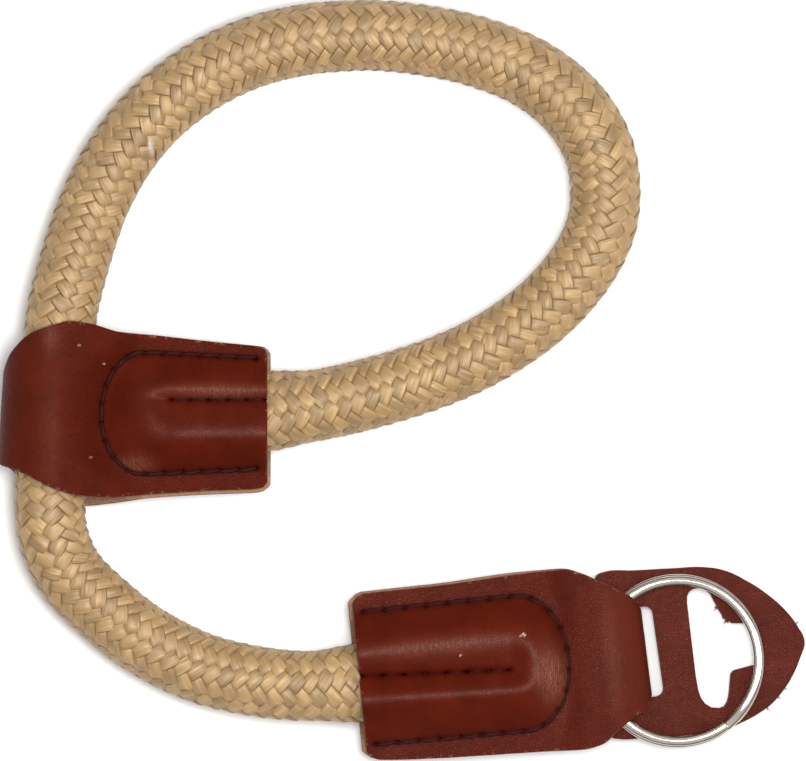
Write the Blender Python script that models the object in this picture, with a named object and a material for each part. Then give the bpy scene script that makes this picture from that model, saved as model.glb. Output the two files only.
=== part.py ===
"""Camera hand strap: a rope noose with two folded leather ends, a split ring and a leather pad.

The strap lies on its surface, z = 0. X runs from the slider to the ring and Y points across the strap,
towards the wrist loop. The origin is the middle of the leather and metal pieces, on the surface.
"""

import math
from typing import NamedTuple

import bmesh
import bpy
import numpy as np
from mathutils import Matrix, Vector

# Driving sizes, in metres
ROPE_DIAMETER = 0.0100
ROPE_SEWN_WIDTH = 0.0113
ROPE_SEWN_HEIGHT = 0.0074
ROPE_PRESS_LENGTH = 0.0070
ROPE_SIDES = 12
ROPE_POINTS = 80
LEATHER = 0.0011
CLEARANCE = 0.0003
SLIDER_SLACK_BEHIND_ROPE = 0.00065
SLIDER_SLACK_BEFORE_ROPE = 0.00095
TAB_FOLD_LIFT = 0.0006
TAB_FOLD_SLACK = 0.0009
TAB_FOLD_DEPTH = 0.0017
PAD_THICKNESS = 0.0012
PAD_LENGTH = 0.0285
PAD_WIDTH = 0.0234
PAD_BAR = 0.0038
PAD_SLOT_WIDTH = 0.0041
PAD_SLOT_CORNER = 0.0011
PAD_SLOT_LEAN = math.radians(2.6)
PAD_TIP_BULGE = 0.0002
RING_OUTER_DIAMETER = 0.0243
RING_WIRE_WIDTH = 0.00135
RING_WIRE_HEIGHT = 0.00085
RING_TURN_GAP = 0.0002
RING_BEHIND_BAR_EDGE = 0.00555
RING_OFF_AXIS = -0.0018
RING_COIL_END = math.radians(-55.0)
STITCH_GROOVE_DEPTH = 0.0006
STITCH_GROOVE_WIDTH = 0.0022
POCKET_FLATNESS = 2.6
POCKET_FULLNESS = 0.8

# The rope's middle line, chosen by hand: from its end in the slider, round the wrist loop,
# through the slider's fold and on to its end in the tab. The last number of a point says how high
# the rope lies there: 0 on the surface, 1 on the slider's lower layer
ROPE_ROUTE = [
    (-0.0382, 0.0178, 0.75),
    (-0.0285, 0.0178, 0.35),
    (-0.0189, 0.0180, 0.07),
    (-0.0103, 0.0192, 0.00),
    (-0.0009, 0.0216, 0.00),
    (0.0068, 0.0243, 0.00),
    (0.0133, 0.0276, 0.00),
    (0.0196, 0.0322, 0.00),
    (0.0246, 0.0378, 0.00),
    (0.0275, 0.0434, 0.00),
    (0.0282, 0.0490, 0.00),
    (0.0272, 0.0548, 0.00),
    (0.0237, 0.0605, 0.00),
    (0.0180, 0.0651, 0.00),
    (0.0108, 0.0681, 0.00),
    (0.0037, 0.0697, 0.00),
    (-0.0033, 0.0705, 0.00),
    (-0.0088, 0.0704, 0.00),
    (-0.0145, 0.0698, 0.00),
    (-0.0214, 0.0680, 0.00),
    (-0.0282, 0.0647, 0.00),
    (-0.0345, 0.0599, 0.00),
    (-0.0392, 0.0543, 0.00),
    (-0.0424, 0.0487, 0.00),
    (-0.0443, 0.0440, 0.15),
    (-0.0464, 0.0370, 0.65),
    (-0.0478, 0.0305, 1.00),
    (-0.0488, 0.0190, 1.00),
    (-0.0493, 0.0085, 1.00),
    (-0.0493, 0.0045, 1.00),
    (-0.0487, 0.0000, 0.80),
    (-0.0463, -0.0050, 0.25),
    (-0.0411, -0.0101, 0.00),
    (-0.0356, -0.0142, 0.00),
    (-0.0285, -0.0177, 0.00),
    (-0.0214, -0.0195, 0.00),
    (-0.0145, -0.0203, 0.00),
    (-0.0080, -0.0200, 0.07),
    (0.0060, -0.0184, 0.07),
    (0.0181, -0.0170, 0.07),
]


class Section(NamedTuple):
    """A cut across a leather strip: its share of the way to the fold, and the edges in half widths."""

    along: float
    upper_left: float
    upper_right: float
    lower_left: float
    lower_right: float


class Turn(NamedTuple):
    """A cut across the fold: how far round it, from 0 above to 1 below, and the strip's two edges."""

    round: float
    left: float
    right: float


class LeatherEnd(NamedTuple):
    """A leather strip folded in two, with the rope's end sewn in and something held in its fold."""

    mouth: tuple
    heading: float
    stitch_margin: float
    flange: float
    lower_overhang: float
    pocket_length: float
    pocket_end: float
    pocket_flare: float
    pinch_setback: float
    fold_room: float
    fold_reach: float
    fold_lean: float
    fold_lift: float
    fold_half_height: float
    drop_start: float
    drop_end: float
    rise_power: float
    rise_run: float
    groove_start: tuple
    groove_end: tuple
    sections: list
    turns: list

    @property
    def pocket_half_width(self):
        return ROPE_SEWN_WIDTH / 2 + self.stitch_margin

    @property
    def half_width(self):
        return self.pocket_half_width + self.flange

    @property
    def fold_start(self):
        return self.pocket_length + self.fold_room

    @property
    def fold_height(self):
        return self.fold_lift + LEATHER / 2 + self.fold_half_height


# Half the distance between the middles of the two leather layers: lying on each other, over the
# sewn rope, in the slider's fold round the rope, and in the tab's fold over the pad's bar and the ring
RING_HEIGHT = 2 * RING_WIRE_HEIGHT + RING_TURN_GAP
LAYERS_CLOSED = (LEATHER + CLEARANCE) / 2
ROPE_CROWN = ROPE_SEWN_HEIGHT / 2 + CLEARANCE + LEATHER / 2 + STITCH_GROOVE_DEPTH
LOOP_HALF_HEIGHT = ROPE_DIAMETER / 2 + CLEARANCE + LEATHER / 2
TAB_FOLD_HALF_HEIGHT = (LEATHER + PAD_THICKNESS + RING_HEIGHT + 3 * CLEARANCE + TAB_FOLD_SLACK) / 2

# The sewn rope's middle, and how high the rope lies on the slider's lower layer
POCKET_HEIGHT = LEATHER + CLEARANCE + ROPE_SEWN_HEIGHT / 2
SLIDER_LIFT = LEATHER + CLEARANCE

SLIDER = LeatherEnd(
    mouth=(-0.01894, 0.01778),
    heading=math.pi,
    stitch_margin=0.00195,
    flange=0.0049,
    lower_overhang=0.0004,
    pocket_length=0.0234,
    pocket_end=0.0056,
    pocket_flare=0.0009,
    pinch_setback=0.0084,
    fold_room=LOOP_HALF_HEIGHT + SLIDER_SLACK_BEHIND_ROPE,
    fold_reach=LOOP_HALF_HEIGHT + SLIDER_SLACK_BEFORE_ROPE,
    fold_lean=0.067,
    fold_lift=0.0,
    fold_half_height=LOOP_HALF_HEIGHT,
    drop_start=0.0,
    drop_end=0.87,
    rise_power=1.8,
    rise_run=2 * LOOP_HALF_HEIGHT,
    groove_start=(-0.0010, -0.0019),
    groove_end=(0.0135, -0.0019),
    sections=[
        Section(0.000, -0.66, 0.76, -0.66, 0.80),
        Section(0.020, -0.73, 0.83, -0.73, 0.86),
        Section(0.060, -0.75, 0.85, -0.75, 0.89),
        Section(0.270, -0.80, 0.87, -0.79, 0.91),
        Section(0.540, -0.87, 0.91, -0.86, 0.95),
        Section(0.715, -0.91, 0.94, -0.90, 1.01),
        Section(0.850, -1.00, 0.92, -0.97, 1.04),
        Section(0.950, -1.03, 0.86, -1.00, 1.00),
        Section(1.000, -1.00, 0.81, -0.99, 0.94),
    ],
    turns=[
        Turn(0.00, -1.00, 0.81),
        Turn(0.17, -0.90, 0.67),
        Turn(0.33, -0.70, 0.60),
        Turn(0.50, -0.47, 0.57),
        Turn(0.67, -0.66, 0.60),
        Turn(0.83, -0.88, 0.76),
        Turn(1.00, -0.99, 0.94),
    ],
)

TAB = LeatherEnd(
    mouth=(-0.00613, -0.01932),
    heading=math.radians(5.5),
    stitch_margin=0.00365,
    flange=0.0034,
    lower_overhang=0.0006,
    pocket_length=0.0293,
    pocket_end=0.0066,
    pocket_flare=0.0002,
    pinch_setback=0.0020,
    fold_room=0.0082,
    fold_reach=TAB_FOLD_DEPTH + LEATHER / 2,
    fold_lean=-0.03,
    fold_lift=TAB_FOLD_LIFT,
    fold_half_height=TAB_FOLD_HALF_HEIGHT,
    drop_start=0.70,
    drop_end=0.893,
    rise_power=4.0,
    rise_run=0.0082,
    groove_start=(-0.0010, 0.0004),
    groove_end=(0.0210, -0.0007),
    sections=[
        Section(0.000, -0.81, 0.83, -0.79, 0.84),
        Section(0.020, -0.87, 0.90, -0.86, 0.91),
        Section(0.050, -0.91, 0.93, -0.90, 0.95),
        Section(0.330, -0.96, 0.94, -0.95, 0.96),
        Section(0.640, -0.99, 0.98, -0.98, 1.00),
        Section(0.800, -1.01, 0.99, -0.99, 0.99),
        Section(0.870, -0.97, 0.92, -0.91, 0.88),
        Section(0.940, -0.82, 0.80, -0.70, 0.67),
        Section(1.000, -0.70, 0.69, -0.48, 0.46),
    ],
    turns=[
        Turn(0.00, -0.70, 0.69),
        Turn(0.17, -0.65, 0.63),
        Turn(0.33, -0.57, 0.54),
        Turn(0.50, -0.49, 0.46),
        Turn(0.67, -0.46, 0.44),
        Turn(0.83, -0.46, 0.44),
        Turn(1.00, -0.48, 0.46),
    ],
)

FLAT_STATIONS = 20
FOLD_STATIONS = 6
LEATHER_COLUMNS = 18


class Outline(NamedTuple):
    """A point of the pad's edge: a share of its length from the bar end, and one of half its width."""

    along: float
    across: float


PAD_OUTLINE = [
    Outline(0.000, 0.850),
    Outline(0.008, 0.945),
    Outline(0.045, 0.985),
    Outline(0.205, 0.970),
    Outline(0.390, 0.951),
    Outline(0.545, 0.928),
    Outline(0.645, 0.861),
    Outline(0.750, 0.707),
    Outline(0.830, 0.553),
    Outline(0.920, 0.322),
    Outline(0.973, 0.114),
    Outline(1.000, -0.070),
    Outline(0.971, -0.261),
    Outline(0.926, -0.461),
    Outline(0.883, -0.601),
    Outline(0.815, -0.766),
    Outline(0.736, -0.882),
    Outline(0.672, -0.948),
    Outline(0.580, -1.015),
    Outline(0.460, -1.050),
    Outline(0.320, -1.055),
    Outline(0.175, -1.035),
    Outline(0.045, -1.020),
    Outline(0.008, -0.985),
    Outline(0.000, -0.880),
]

# The T-shaped slot for a lug, cut by hand and ragged at its upper right
TEE_OUTLINE = [
    Outline(0.441, 0.525),
    Outline(0.449, -0.349),
    Outline(0.455, -0.530),
    Outline(0.465, -0.630),
    Outline(0.484, -0.700),
    Outline(0.511, -0.748),
    Outline(0.550, -0.766),
    Outline(0.573, -0.752),
    Outline(0.590, -0.705),
    Outline(0.600, -0.640),
    Outline(0.607, -0.566),
    Outline(0.621, -0.374),
    Outline(0.636, -0.333),
    Outline(0.772, -0.280),
    Outline(0.772, 0.195),
    Outline(0.626, 0.234),
    Outline(0.606, 0.335),
    Outline(0.580, 0.477),
    Outline(0.560, 0.600),
    Outline(0.535, 0.662),
    Outline(0.508, 0.683),
    Outline(0.478, 0.680),
    Outline(0.455, 0.650),
    Outline(0.444, 0.600),
]


def clear_scene():
    for old in list(bpy.data.objects):
        bpy.data.objects.remove(old, do_unlink=True)


def material(name, colour, roughness, metallic=0.0):
    made = bpy.data.materials.new(name)
    made.use_nodes = True
    shader = made.node_tree.nodes["Principled BSDF"]
    shader.inputs["Base Color"].default_value = (*colour, 1.0)
    shader.inputs["Roughness"].default_value = roughness
    shader.inputs["Metallic"].default_value = metallic
    return made


def add_object(name, data, surface=None):
    made = bpy.data.objects.new(name, data)
    bpy.context.scene.collection.objects.link(made)
    if surface:
        data.materials.append(surface)
    return made


def smoothstep(low, high, value):
    share = np.clip((value - low) / (high - low), 0.0, 1.0)
    return share * share * (3.0 - 2.0 * share)


def smooth_through(points, count):
    """The given number of evenly spaced points on one smooth curve through the route's own points."""
    points = np.array(points)
    dense = []
    padded = np.vstack([2 * points[0] - points[1], points, 2 * points[-1] - points[-2]])
    for before, start, end, after in zip(padded, padded[1:], padded[2:], padded[3:]):
        for share in np.linspace(0.0, 1.0, 20, endpoint=False):
            dense.append(
                0.5
                * (
                    2 * start
                    + (end - before) * share
                    + (2 * before - 5 * start + 4 * end - after) * share**2
                    + (3 * start - before - 3 * end + after) * share**3
                )
            )
    dense = np.array([*dense, points[-1]])
    reached = np.r_[0.0, np.cumsum(np.linalg.norm(np.diff(dense[:, :2], axis=0), axis=1))]
    wanted = np.linspace(0.0, reached[-1], count)
    return [[np.interp(w, reached, dense[:, axis]) for axis in range(3)] for w in wanted]


def end_matrix(end):
    """From a leather end's own frame, X from its mouth to its fold, to the strap's."""
    return Matrix.Translation((*end.mouth, 0.0)) @ Matrix.Rotation(end.heading, 4, "Z")


def groove_share(end, x, y):
    """How deep the stitches down the pocket's middle pull the leather in, as a share of the full depth."""
    along = np.clip((x - end.groove_start[0]) / (end.groove_end[0] - end.groove_start[0]), 0.0, 1.0)
    middle = end.groove_start[1] + along * (end.groove_end[1] - end.groove_start[1])
    past_end = np.maximum(x - end.groove_end[0], 0.0)
    away = np.hypot(y - middle, past_end) / (STITCH_GROOVE_WIDTH / 2)
    return math.exp(-away * away)


def pocket_share(end, x, y):
    """Where a point lies in the sewn pocket: 0 on its middle line, 1 on the stitches round it."""
    straight = end.pocket_length - end.pocket_end
    half_width = end.pocket_half_width + end.pocket_flare * min(x / straight, 1.0)
    return math.hypot(y / half_width, max(x - straight, 0.0) / end.pocket_end)


def middle_height(end, x):
    """The height of the plane between a leather end's two layers."""
    settled = smoothstep(end.drop_start, end.drop_end, x / end.fold_start)
    return POCKET_HEIGHT + (end.fold_height - POCKET_HEIGHT) * settled


def half_gap(end, x, y):
    """Half the distance between the middles of the two layers, at a point of the strip's plan."""
    pocket = pocket_share(end, x, y)
    if pocket < 1.0:
        crown = (1.0 - pocket**POCKET_FLATNESS) ** POCKET_FULLNESS
        pulled_in = STITCH_GROOVE_DEPTH * crown * groove_share(end, x, y)
        return LAYERS_CLOSED + (ROPE_CROWN - LAYERS_CLOSED) * crown - pulled_in
    fold_start = end.fold_start + end.fold_lean * y
    pinch = end.pocket_length - end.pinch_setback * (y / end.half_width) ** 2
    run = fold_start - pinch
    to_fold = min(max((fold_start - x) / run, 0.0), 1.0)
    opened = (1.0 - to_fold**end.rise_power) ** (run / end.rise_run)
    return LAYERS_CLOSED + (end.fold_half_height - LAYERS_CLOSED) * opened


def edges(table, column, where, left, right):
    """The strip's two edges at one place of a table, as shares of half its width."""
    places = [getattr(row, column) for row in table]
    return [np.interp(where, places, [getattr(row, side) for row in table]) for side in (left, right)]


def leather_stations(end):
    """Rows across the strip, from the upper mouth round the fold to the lower mouth.

    Each is (layer, place, left edge, right edge): layer 1 above, -1 below and 0 in the fold.
    """
    flat = [0.0, 0.02, 0.06, *np.linspace(0.12, 1.0, FLAT_STATIONS - 3)]
    rows = [(1, along, *edges(end.sections, "along", along, "upper_left", "upper_right")) for along in flat]
    for step in range(1, 2 * FOLD_STATIONS):
        turned = step / (2 * FOLD_STATIONS)
        rows.append((0, turned, *edges(end.turns, "round", turned, "left", "right")))
    for along in reversed(flat):
        rows.append((-1, along, *edges(end.sections, "along", along, "lower_left", "lower_right")))
    return rows


def leather_point(end, row, share):
    """A point of the strip's middle surface: its row, and its share of the way from left to right."""
    layer, place, left, right = row
    y = (left + (right - left) * share) * end.half_width
    fold_start = end.fold_start + end.fold_lean * y
    if layer == 0:
        angle = math.pi * place
        x = fold_start + end.fold_reach * math.sin(angle)
        z = end.fold_height + end.fold_half_height * math.cos(angle)
    else:
        overhang = end.lower_overhang if layer < 0 else 0.0
        x = place * (fold_start + overhang) - overhang
        z = middle_height(end, x) + layer * half_gap(end, x, y)
    return Vector((x, y, max(z, LEATHER / 2)))


def make_leather_end(name, end, surface):
    rows = leather_stations(end)
    mesh = bpy.data.meshes.new(name)
    work = bmesh.new()
    bmesh.ops.create_grid(work, x_segments=len(rows) - 1, y_segments=LEATHER_COLUMNS, size=0.5)
    for vertex in work.verts:
        row = rows[round((vertex.co.x + 0.5) * (len(rows) - 1))]
        vertex.co = leather_point(end, row, vertex.co.y + 0.5)
    bmesh.ops.recalc_face_normals(work, faces=work.faces)
    work.to_mesh(mesh)
    work.free()
    made = add_object(name, mesh, surface)
    made.matrix_world = end_matrix(end)
    mesh.shade_smooth()
    wall = made.modifiers.new("Leather", "SOLIDIFY")
    wall.thickness = LEATHER
    wall.offset = 0.0
    wall.use_even_offset = True
    wall.thickness_clamp = 1.0
    return made


def pressed(end, point):
    """Flattens a point of the rope where it runs into a leather end's pocket."""
    local = end_matrix(end).inverted() @ point
    inside = float(smoothstep(-ROPE_PRESS_LENGTH, 0.0, local.x))
    if inside == 0.0 or local.x > end.pocket_length or abs(local.y) > ROPE_DIAMETER:
        return point
    middle = middle_height(end, max(local.x, 0.0))
    wider = 1.0 + inside * (ROPE_SEWN_WIDTH / ROPE_DIAMETER - 1.0)
    lower = 1.0 + inside * (ROPE_SEWN_HEIGHT / ROPE_DIAMETER - 1.0)
    local.y *= wider
    local.z = middle + (local.z - middle) * lower
    return end_matrix(end) @ local


def make_rope(surface):
    """A curve along the route, made a mesh so that its sewn ends can be pressed flat."""
    line = bpy.data.curves.new("rope", "CURVE")
    line.dimensions = "3D"
    line.bevel_depth = ROPE_DIAMETER / 2
    line.bevel_resolution = (ROPE_SIDES - 4) // 2
    line.use_fill_caps = True
    spline = line.splines.new("POLY")
    spline.points.add(ROPE_POINTS - 1)
    for point, (x, y, lift) in zip(spline.points, smooth_through(ROPE_ROUTE, ROPE_POINTS)):
        point.co = (x, y, ROPE_DIAMETER / 2 + SLIDER_LIFT * min(max(lift, 0.0), 1.0), 1.0)
    guide = add_object("rope_guide", line)
    bpy.context.view_layer.update()
    mesh = bpy.data.meshes.new_from_object(guide.evaluated_get(bpy.context.evaluated_depsgraph_get()))
    bpy.data.objects.remove(guide)
    mesh.name = "rope"
    work = bmesh.new()
    work.from_mesh(mesh)
    bmesh.ops.remove_doubles(work, verts=work.verts, dist=1e-6)
    for vertex in work.verts:
        vertex.co = pressed(TAB, pressed(SLIDER, vertex.co.copy()))
    bmesh.ops.recalc_face_normals(work, faces=work.faces)
    work.to_mesh(mesh)
    work.free()
    mesh.shade_smooth()
    return add_object("rope", mesh, surface)


def make_rest_frame():
    """The sloping plane that the pad and the ring lie on, from the tab's fold down to the surface."""
    bar_edge = TAB.fold_start + CLEARANCE
    lift = TAB_FOLD_LIFT + LEATHER + CLEARANCE
    run = PAD_LENGTH - PAD_BAR + PAD_TIP_BULGE
    frame = add_object("rest_frame", None)
    place = end_matrix(TAB) @ Matrix.Translation((bar_edge, 0.0, lift))
    frame.matrix_world = place @ Matrix.Rotation(math.asin(lift / run), 4, "Y")
    return frame


def smooth_spline(curve, points):
    """Adds a closed outline whose corners are softly rounded by their own handles."""
    spline = curve.splines.new("BEZIER")
    spline.bezier_points.add(len(points) - 1)
    for knot, (x, y) in zip(spline.bezier_points, points):
        knot.co = (x, y, 0.0)
        knot.handle_left_type = "AUTO"
        knot.handle_right_type = "AUTO"
    spline.use_cyclic_u = True


def straight_spline(curve, points):
    spline = curve.splines.new("POLY")
    spline.points.add(len(points) - 1)
    for knot, (x, y) in zip(spline.points, points):
        knot.co = (x, y, 0.0, 1.0)
    spline.use_cyclic_u = True


def leaned(points, middle):
    """Turns a slot's outline by the small angle at which it was punched, and moves it to its place."""
    turn = Matrix.Rotation(PAD_SLOT_LEAN, 2)
    return [tuple(turn @ Vector(point) + Vector(middle)) for point in points]


def tab_neck():
    """The width and the middle of the tab's strip where it passes through the pad's slot."""
    left, right = edges(TAB.turns, "round", 0.5, "left", "right")
    return (right - left) * TAB.half_width, (right + left) / 2 * TAB.half_width


def round_slot(width, length, corner, steps=4):
    """A slot with four rounded corners, its length along Y."""
    points = []
    for quarter, (side, end) in enumerate(((1, 1), (-1, 1), (-1, -1), (1, -1))):
        for step in range(steps + 1):
            angle = math.pi / 2 * (quarter + step / steps)
            x = side * (width / 2 - corner) + corner * math.cos(angle)
            y = end * (length / 2 - corner) + corner * math.sin(angle)
            points.append((x, y))
    return points


def on_pad(table):
    """The points of an outline table, measured from the bar's edge."""
    return [(row.along * PAD_LENGTH - PAD_BAR, row.across * PAD_WIDTH / 2) for row in table]


def make_pad(rest_frame, surface):
    outline = bpy.data.curves.new("protector_pad", "CURVE")
    outline.dimensions = "2D"
    outline.fill_mode = "BOTH"
    outline.extrude = PAD_THICKNESS / 2
    outline.resolution_u = 4
    smooth_spline(outline, on_pad(PAD_OUTLINE))
    neck_width, neck_middle = tab_neck()
    slot = round_slot(PAD_SLOT_WIDTH, neck_width + 2 * CLEARANCE, PAD_SLOT_CORNER)
    straight_spline(outline, leaned(slot, (PAD_SLOT_WIDTH / 2, neck_middle)))
    straight_spline(outline, on_pad(TEE_OUTLINE))
    pad = add_object("protector_pad", outline, surface)
    pad.parent = rest_frame
    pad.location = (0.0, 0.0, PAD_THICKNESS / 2)
    return pad


def ring_line():
    """The split ring's coil: two turns, with a short step from the lower one to the upper one."""
    steps = 44
    step_share = 0.09
    radius = (RING_OUTER_DIAMETER - RING_WIRE_WIDTH) / 2
    rise = RING_WIRE_HEIGHT + RING_TURN_GAP
    free = 0.012
    points = []
    for step in range(2 * steps + 1):
        turned = step / steps * (1.0 - free) + free
        angle = 2 * math.pi * turned
        height = rise * (float(smoothstep(1.0 - step_share / 2, 1.0 + step_share / 2, turned)) - 0.5)
        points.append((radius * math.cos(angle), radius * math.sin(angle), height))
    return points


def make_ring(rest_frame, surface):
    section = bpy.data.curves.new("ring_section", "CURVE")
    section.dimensions = "2D"
    half_width = RING_WIRE_WIDTH / 2
    half_height = RING_WIRE_HEIGHT / 2
    corner = RING_WIRE_HEIGHT / 4
    straight_spline(
        section,
        [
            (half_width - corner, -half_height),
            (-half_width + corner, -half_height),
            (-half_width, -half_height + corner),
            (-half_width, half_height - corner),
            (-half_width + corner, half_height),
            (half_width - corner, half_height),
            (half_width, half_height - corner),
            (half_width, -half_height + corner),
        ],
    )
    profile = add_object("ring_section", section)
    profile.hide_render = True
    profile.display_type = "WIRE"
    coil = bpy.data.curves.new("split_ring", "CURVE")
    coil.dimensions = "3D"
    coil.twist_mode = "Z_UP"
    coil.bevel_mode = "OBJECT"
    coil.bevel_object = profile
    coil.use_fill_caps = True
    spline = coil.splines.new("POLY")
    points = ring_line()
    spline.points.add(len(points) - 1)
    for knot, place in zip(spline.points, points):
        knot.co = (*place, 1.0)
    ring = add_object("split_ring", coil, surface)
    ring.parent = rest_frame
    along = RING_OUTER_DIAMETER / 2 - RING_BEHIND_BAR_EDGE
    ring.location = (along, RING_OFF_AXIS, PAD_THICKNESS + CLEARANCE + RING_HEIGHT / 2)
    ring.rotation_euler = (0.0, 0.0, RING_COIL_END)
    return ring


def main():
    clear_scene()
    oxblood = material("oxblood_leather", (0.115, 0.022, 0.012), 0.45)
    make_rope(material("khaki_cord", (0.46, 0.32, 0.16), 0.7))
    make_leather_end("slider_leather", SLIDER, oxblood)
    make_leather_end("end_tab_leather", TAB, oxblood)
    rest_frame = make_rest_frame()
    make_pad(rest_frame, oxblood)
    make_ring(rest_frame, material("nickel_steel", (0.70, 0.67, 0.62), 0.22, metallic=1.0))
    bpy.context.view_layer.update()


main()
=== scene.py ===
"""Camera hand strap: a braided rope noose with two folded leather ends, a split ring and a leather pad.

Every piece is modelled where the packed frame has it: the braid's yarns round their core, the folded and
stitched leather, the pad with its slots and the coil of the ring. All lengths are metres.
"""

import math
from typing import NamedTuple

import bmesh
import bpy
import numpy as np
from mathutils import Matrix, Vector


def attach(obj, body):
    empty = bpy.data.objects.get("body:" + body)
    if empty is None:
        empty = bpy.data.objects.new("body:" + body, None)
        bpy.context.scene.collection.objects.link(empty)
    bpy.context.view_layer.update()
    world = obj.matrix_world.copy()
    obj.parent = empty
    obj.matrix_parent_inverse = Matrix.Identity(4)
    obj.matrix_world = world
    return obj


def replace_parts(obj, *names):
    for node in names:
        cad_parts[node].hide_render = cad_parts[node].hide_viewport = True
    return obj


bl_info = {
    "name": "Camera Hand Strap",
    "version": (1, 0, 0),
    "blender": (4, 5, 0),
    "location": "View3D > Sidebar > Strap",
    "description": "Braided rope, stitched leather ends, pad and split ring of a camera hand strap",
    "category": "Add Mesh",
}

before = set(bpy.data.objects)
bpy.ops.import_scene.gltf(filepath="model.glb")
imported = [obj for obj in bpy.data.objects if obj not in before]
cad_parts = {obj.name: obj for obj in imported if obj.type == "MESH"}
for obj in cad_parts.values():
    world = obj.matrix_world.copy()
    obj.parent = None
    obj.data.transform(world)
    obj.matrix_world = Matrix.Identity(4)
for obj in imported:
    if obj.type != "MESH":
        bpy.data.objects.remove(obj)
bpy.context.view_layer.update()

# The strap's own sizes, as its frame has them
ROPE_DIAMETER = 0.0100
ROPE_SEWN_WIDTH = 0.0113
ROPE_SEWN_HEIGHT = 0.0074
ROPE_PRESS_LENGTH = 0.0070
LEATHER = 0.0011
CLEARANCE = 0.0003
SLIDER_SLACK_BEHIND_ROPE = 0.00065
SLIDER_SLACK_BEFORE_ROPE = 0.00095
TAB_FOLD_LIFT = 0.0006
TAB_FOLD_SLACK = 0.0009
TAB_FOLD_DEPTH = 0.0017
PAD_THICKNESS = 0.0012
PAD_LENGTH = 0.0285
PAD_WIDTH = 0.0234
PAD_BAR = 0.0038
PAD_SLOT_WIDTH = 0.0041
PAD_SLOT_CORNER = 0.0011
PAD_SLOT_LEAN = math.radians(2.6)
PAD_TIP_BULGE = 0.0002
RING_OUTER_DIAMETER = 0.0243
RING_WIRE_WIDTH = 0.00135
RING_WIRE_HEIGHT = 0.00085
RING_TURN_GAP = 0.0002
RING_BEHIND_BAR_EDGE = 0.00555
RING_OFF_AXIS = -0.0018
RING_COIL_END = math.radians(-55.0)
RING_HEIGHT = 2 * RING_WIRE_HEIGHT + RING_TURN_GAP
STITCH_GROOVE_DEPTH = 0.0006

# The ring's coil: how much further in its upper turn lies, and the shares of a turn by which each of
# its ends is short and in which it steps up
RING_TURN_OFFSET = 0.00024
RING_SHORT = 0.012
RING_STEP_UP = 0.09

# How the leather lies over the rope and dips at its stitches, and up to which slope it is rubbed shiny
CREASE_DEPTH = 0.00050
CREASE_WIDTH = 0.00050
SEAM_DEPTH = 0.00026
SEAM_WIDTH = 0.00060
SEAM_INSET = 0.985
MIDDLE_SEAM_START = 0.0003
HOLE_DEPTH = 0.00045
HOLE_WIDTH = 0.00042
STITCH_SLANT = 0.00050
POCKET_FULLNESS = 1.25
CREST_SLOPE = 0.13

# How much of a strip's rounding shows as a cut edge, and how much of its thickness the rounding leaves
EDGE_SHOWN = 0.35
EDGE_THICKNESS = 0.55

# How uneven the leather and the pad are, and how far apart their humps are
UNEVENNESS = 0.00005
LEATHER_HUMPS = 0.0062
PAD_HUMPS = 0.011

# How far the pad's cut edge is rounded off, and its frays. Each has two fibres with their own turn and
# share of its length, a radius at the root and at the tip, a height of the root and a slope
PAD_EDGE_ROUNDING = 0.00016
FRAY_FIBRES = ((-0.30, 0.7), (0.12, 1.0))
FRAY_RADII = (0.00007, 0.00002)
FRAY_HEIGHT = 0.0003
FRAY_SLOPE = math.radians(82.0)

# How far the yarns stay within the rope's diameter, and how far the rope stays under the leather
YARN_ROOM = 0.00002
UNDER_LEATHER = 0.00006

# The rope's braid: how sharply a yarn rises and dips, how far the braid turns to and fro along the
# rope, and across one flat yarn its shares of half its width and half its thickness
WEAVE_STEEPNESS = 1.9
DRIFT = 0.32
DRIFT_LENGTH = 0.105
YARN_SECTION = [(1.0, 0.10), (0.80, 0.80), (-0.80, 0.80), (-1.0, 0.10), (-0.6, -0.9), (0.6, -0.9)]

# How far a yarn's width, its place across and its tone swing along it, and how quickly. The width's
# swing is a share of it, and it has another share more where the yarn lies on top
WIDTH_SWING = (0.04, 410.0)
PLACE_SWING = (0.00004, 290.0)
TONE_SWING = (0.5, 33.0)
WIDER_ON_TOP = 0.05

# The tuft of pale lint that is caught in the rope, and the specks on the leather
LINT_PLACE = (-0.0353, 0.0545)
LINT_HEADING = math.radians(50.0)
LINT_SIZE = (0.0011, 0.00027)
LINT_COLOUR = (0.64, 0.60, 0.57)
FLECK_SIZE = 0.00010
FLECK_COLOUR = (0.75, 0.52, 0.44)

# How much of the dye the cut edges have taken up, and how shiny the pad and the stretched leather are
EDGE_DYE = 0.72
PAD_EDGE_DYE = 0.80
PAD_GLOSS = 0.19
STRETCHED_GLOSS = 0.044

# How finely the pieces are divided, and how near each other two points are that count as one
TABLE_STEP = 0.00025
STIFFNESS_PASSES = 26
ROUTE_POINTS = 900
ROUTE_STEPS = 20
SEAM_POINTS = 60
BEND_POINTS = 40
SAMPLES_PER_CROSSING = 4.5
CORE_STEPS, CORE_SIDES = 420, 24
LEATHER_SPACING = 0.00021
FOLD_STEPS, LOWER_STEPS, ACROSS_STEPS = 42, 48, 112
RIM_SHARES = (0.0, 0.25, 0.55, 1.0)
STITCH_POINTS = 9
PAD_SPACING = 0.0011
RING_STEPS, WIRE_SIDES = 220, 32
SAME_POINT = 1e-7
PAD_TOLERANCE = 1e-6

# The stage: the floor, a little under the strap, where the camera looks down and what the softboxes
# face, and the colours of the surround
FLOOR_SIZE = 1.5
FLOOR_HEIGHT = -0.00002
VIEW_MIDDLE = (-0.00004, 0.02233)
LIT_PLACE = (0.0, 0.02, 0.0)
HORIZON_COLOUR = (0.14, 0.14, 0.15)
OVERHEAD_COLOUR = (1.0, 1.0, 1.0)

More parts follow.
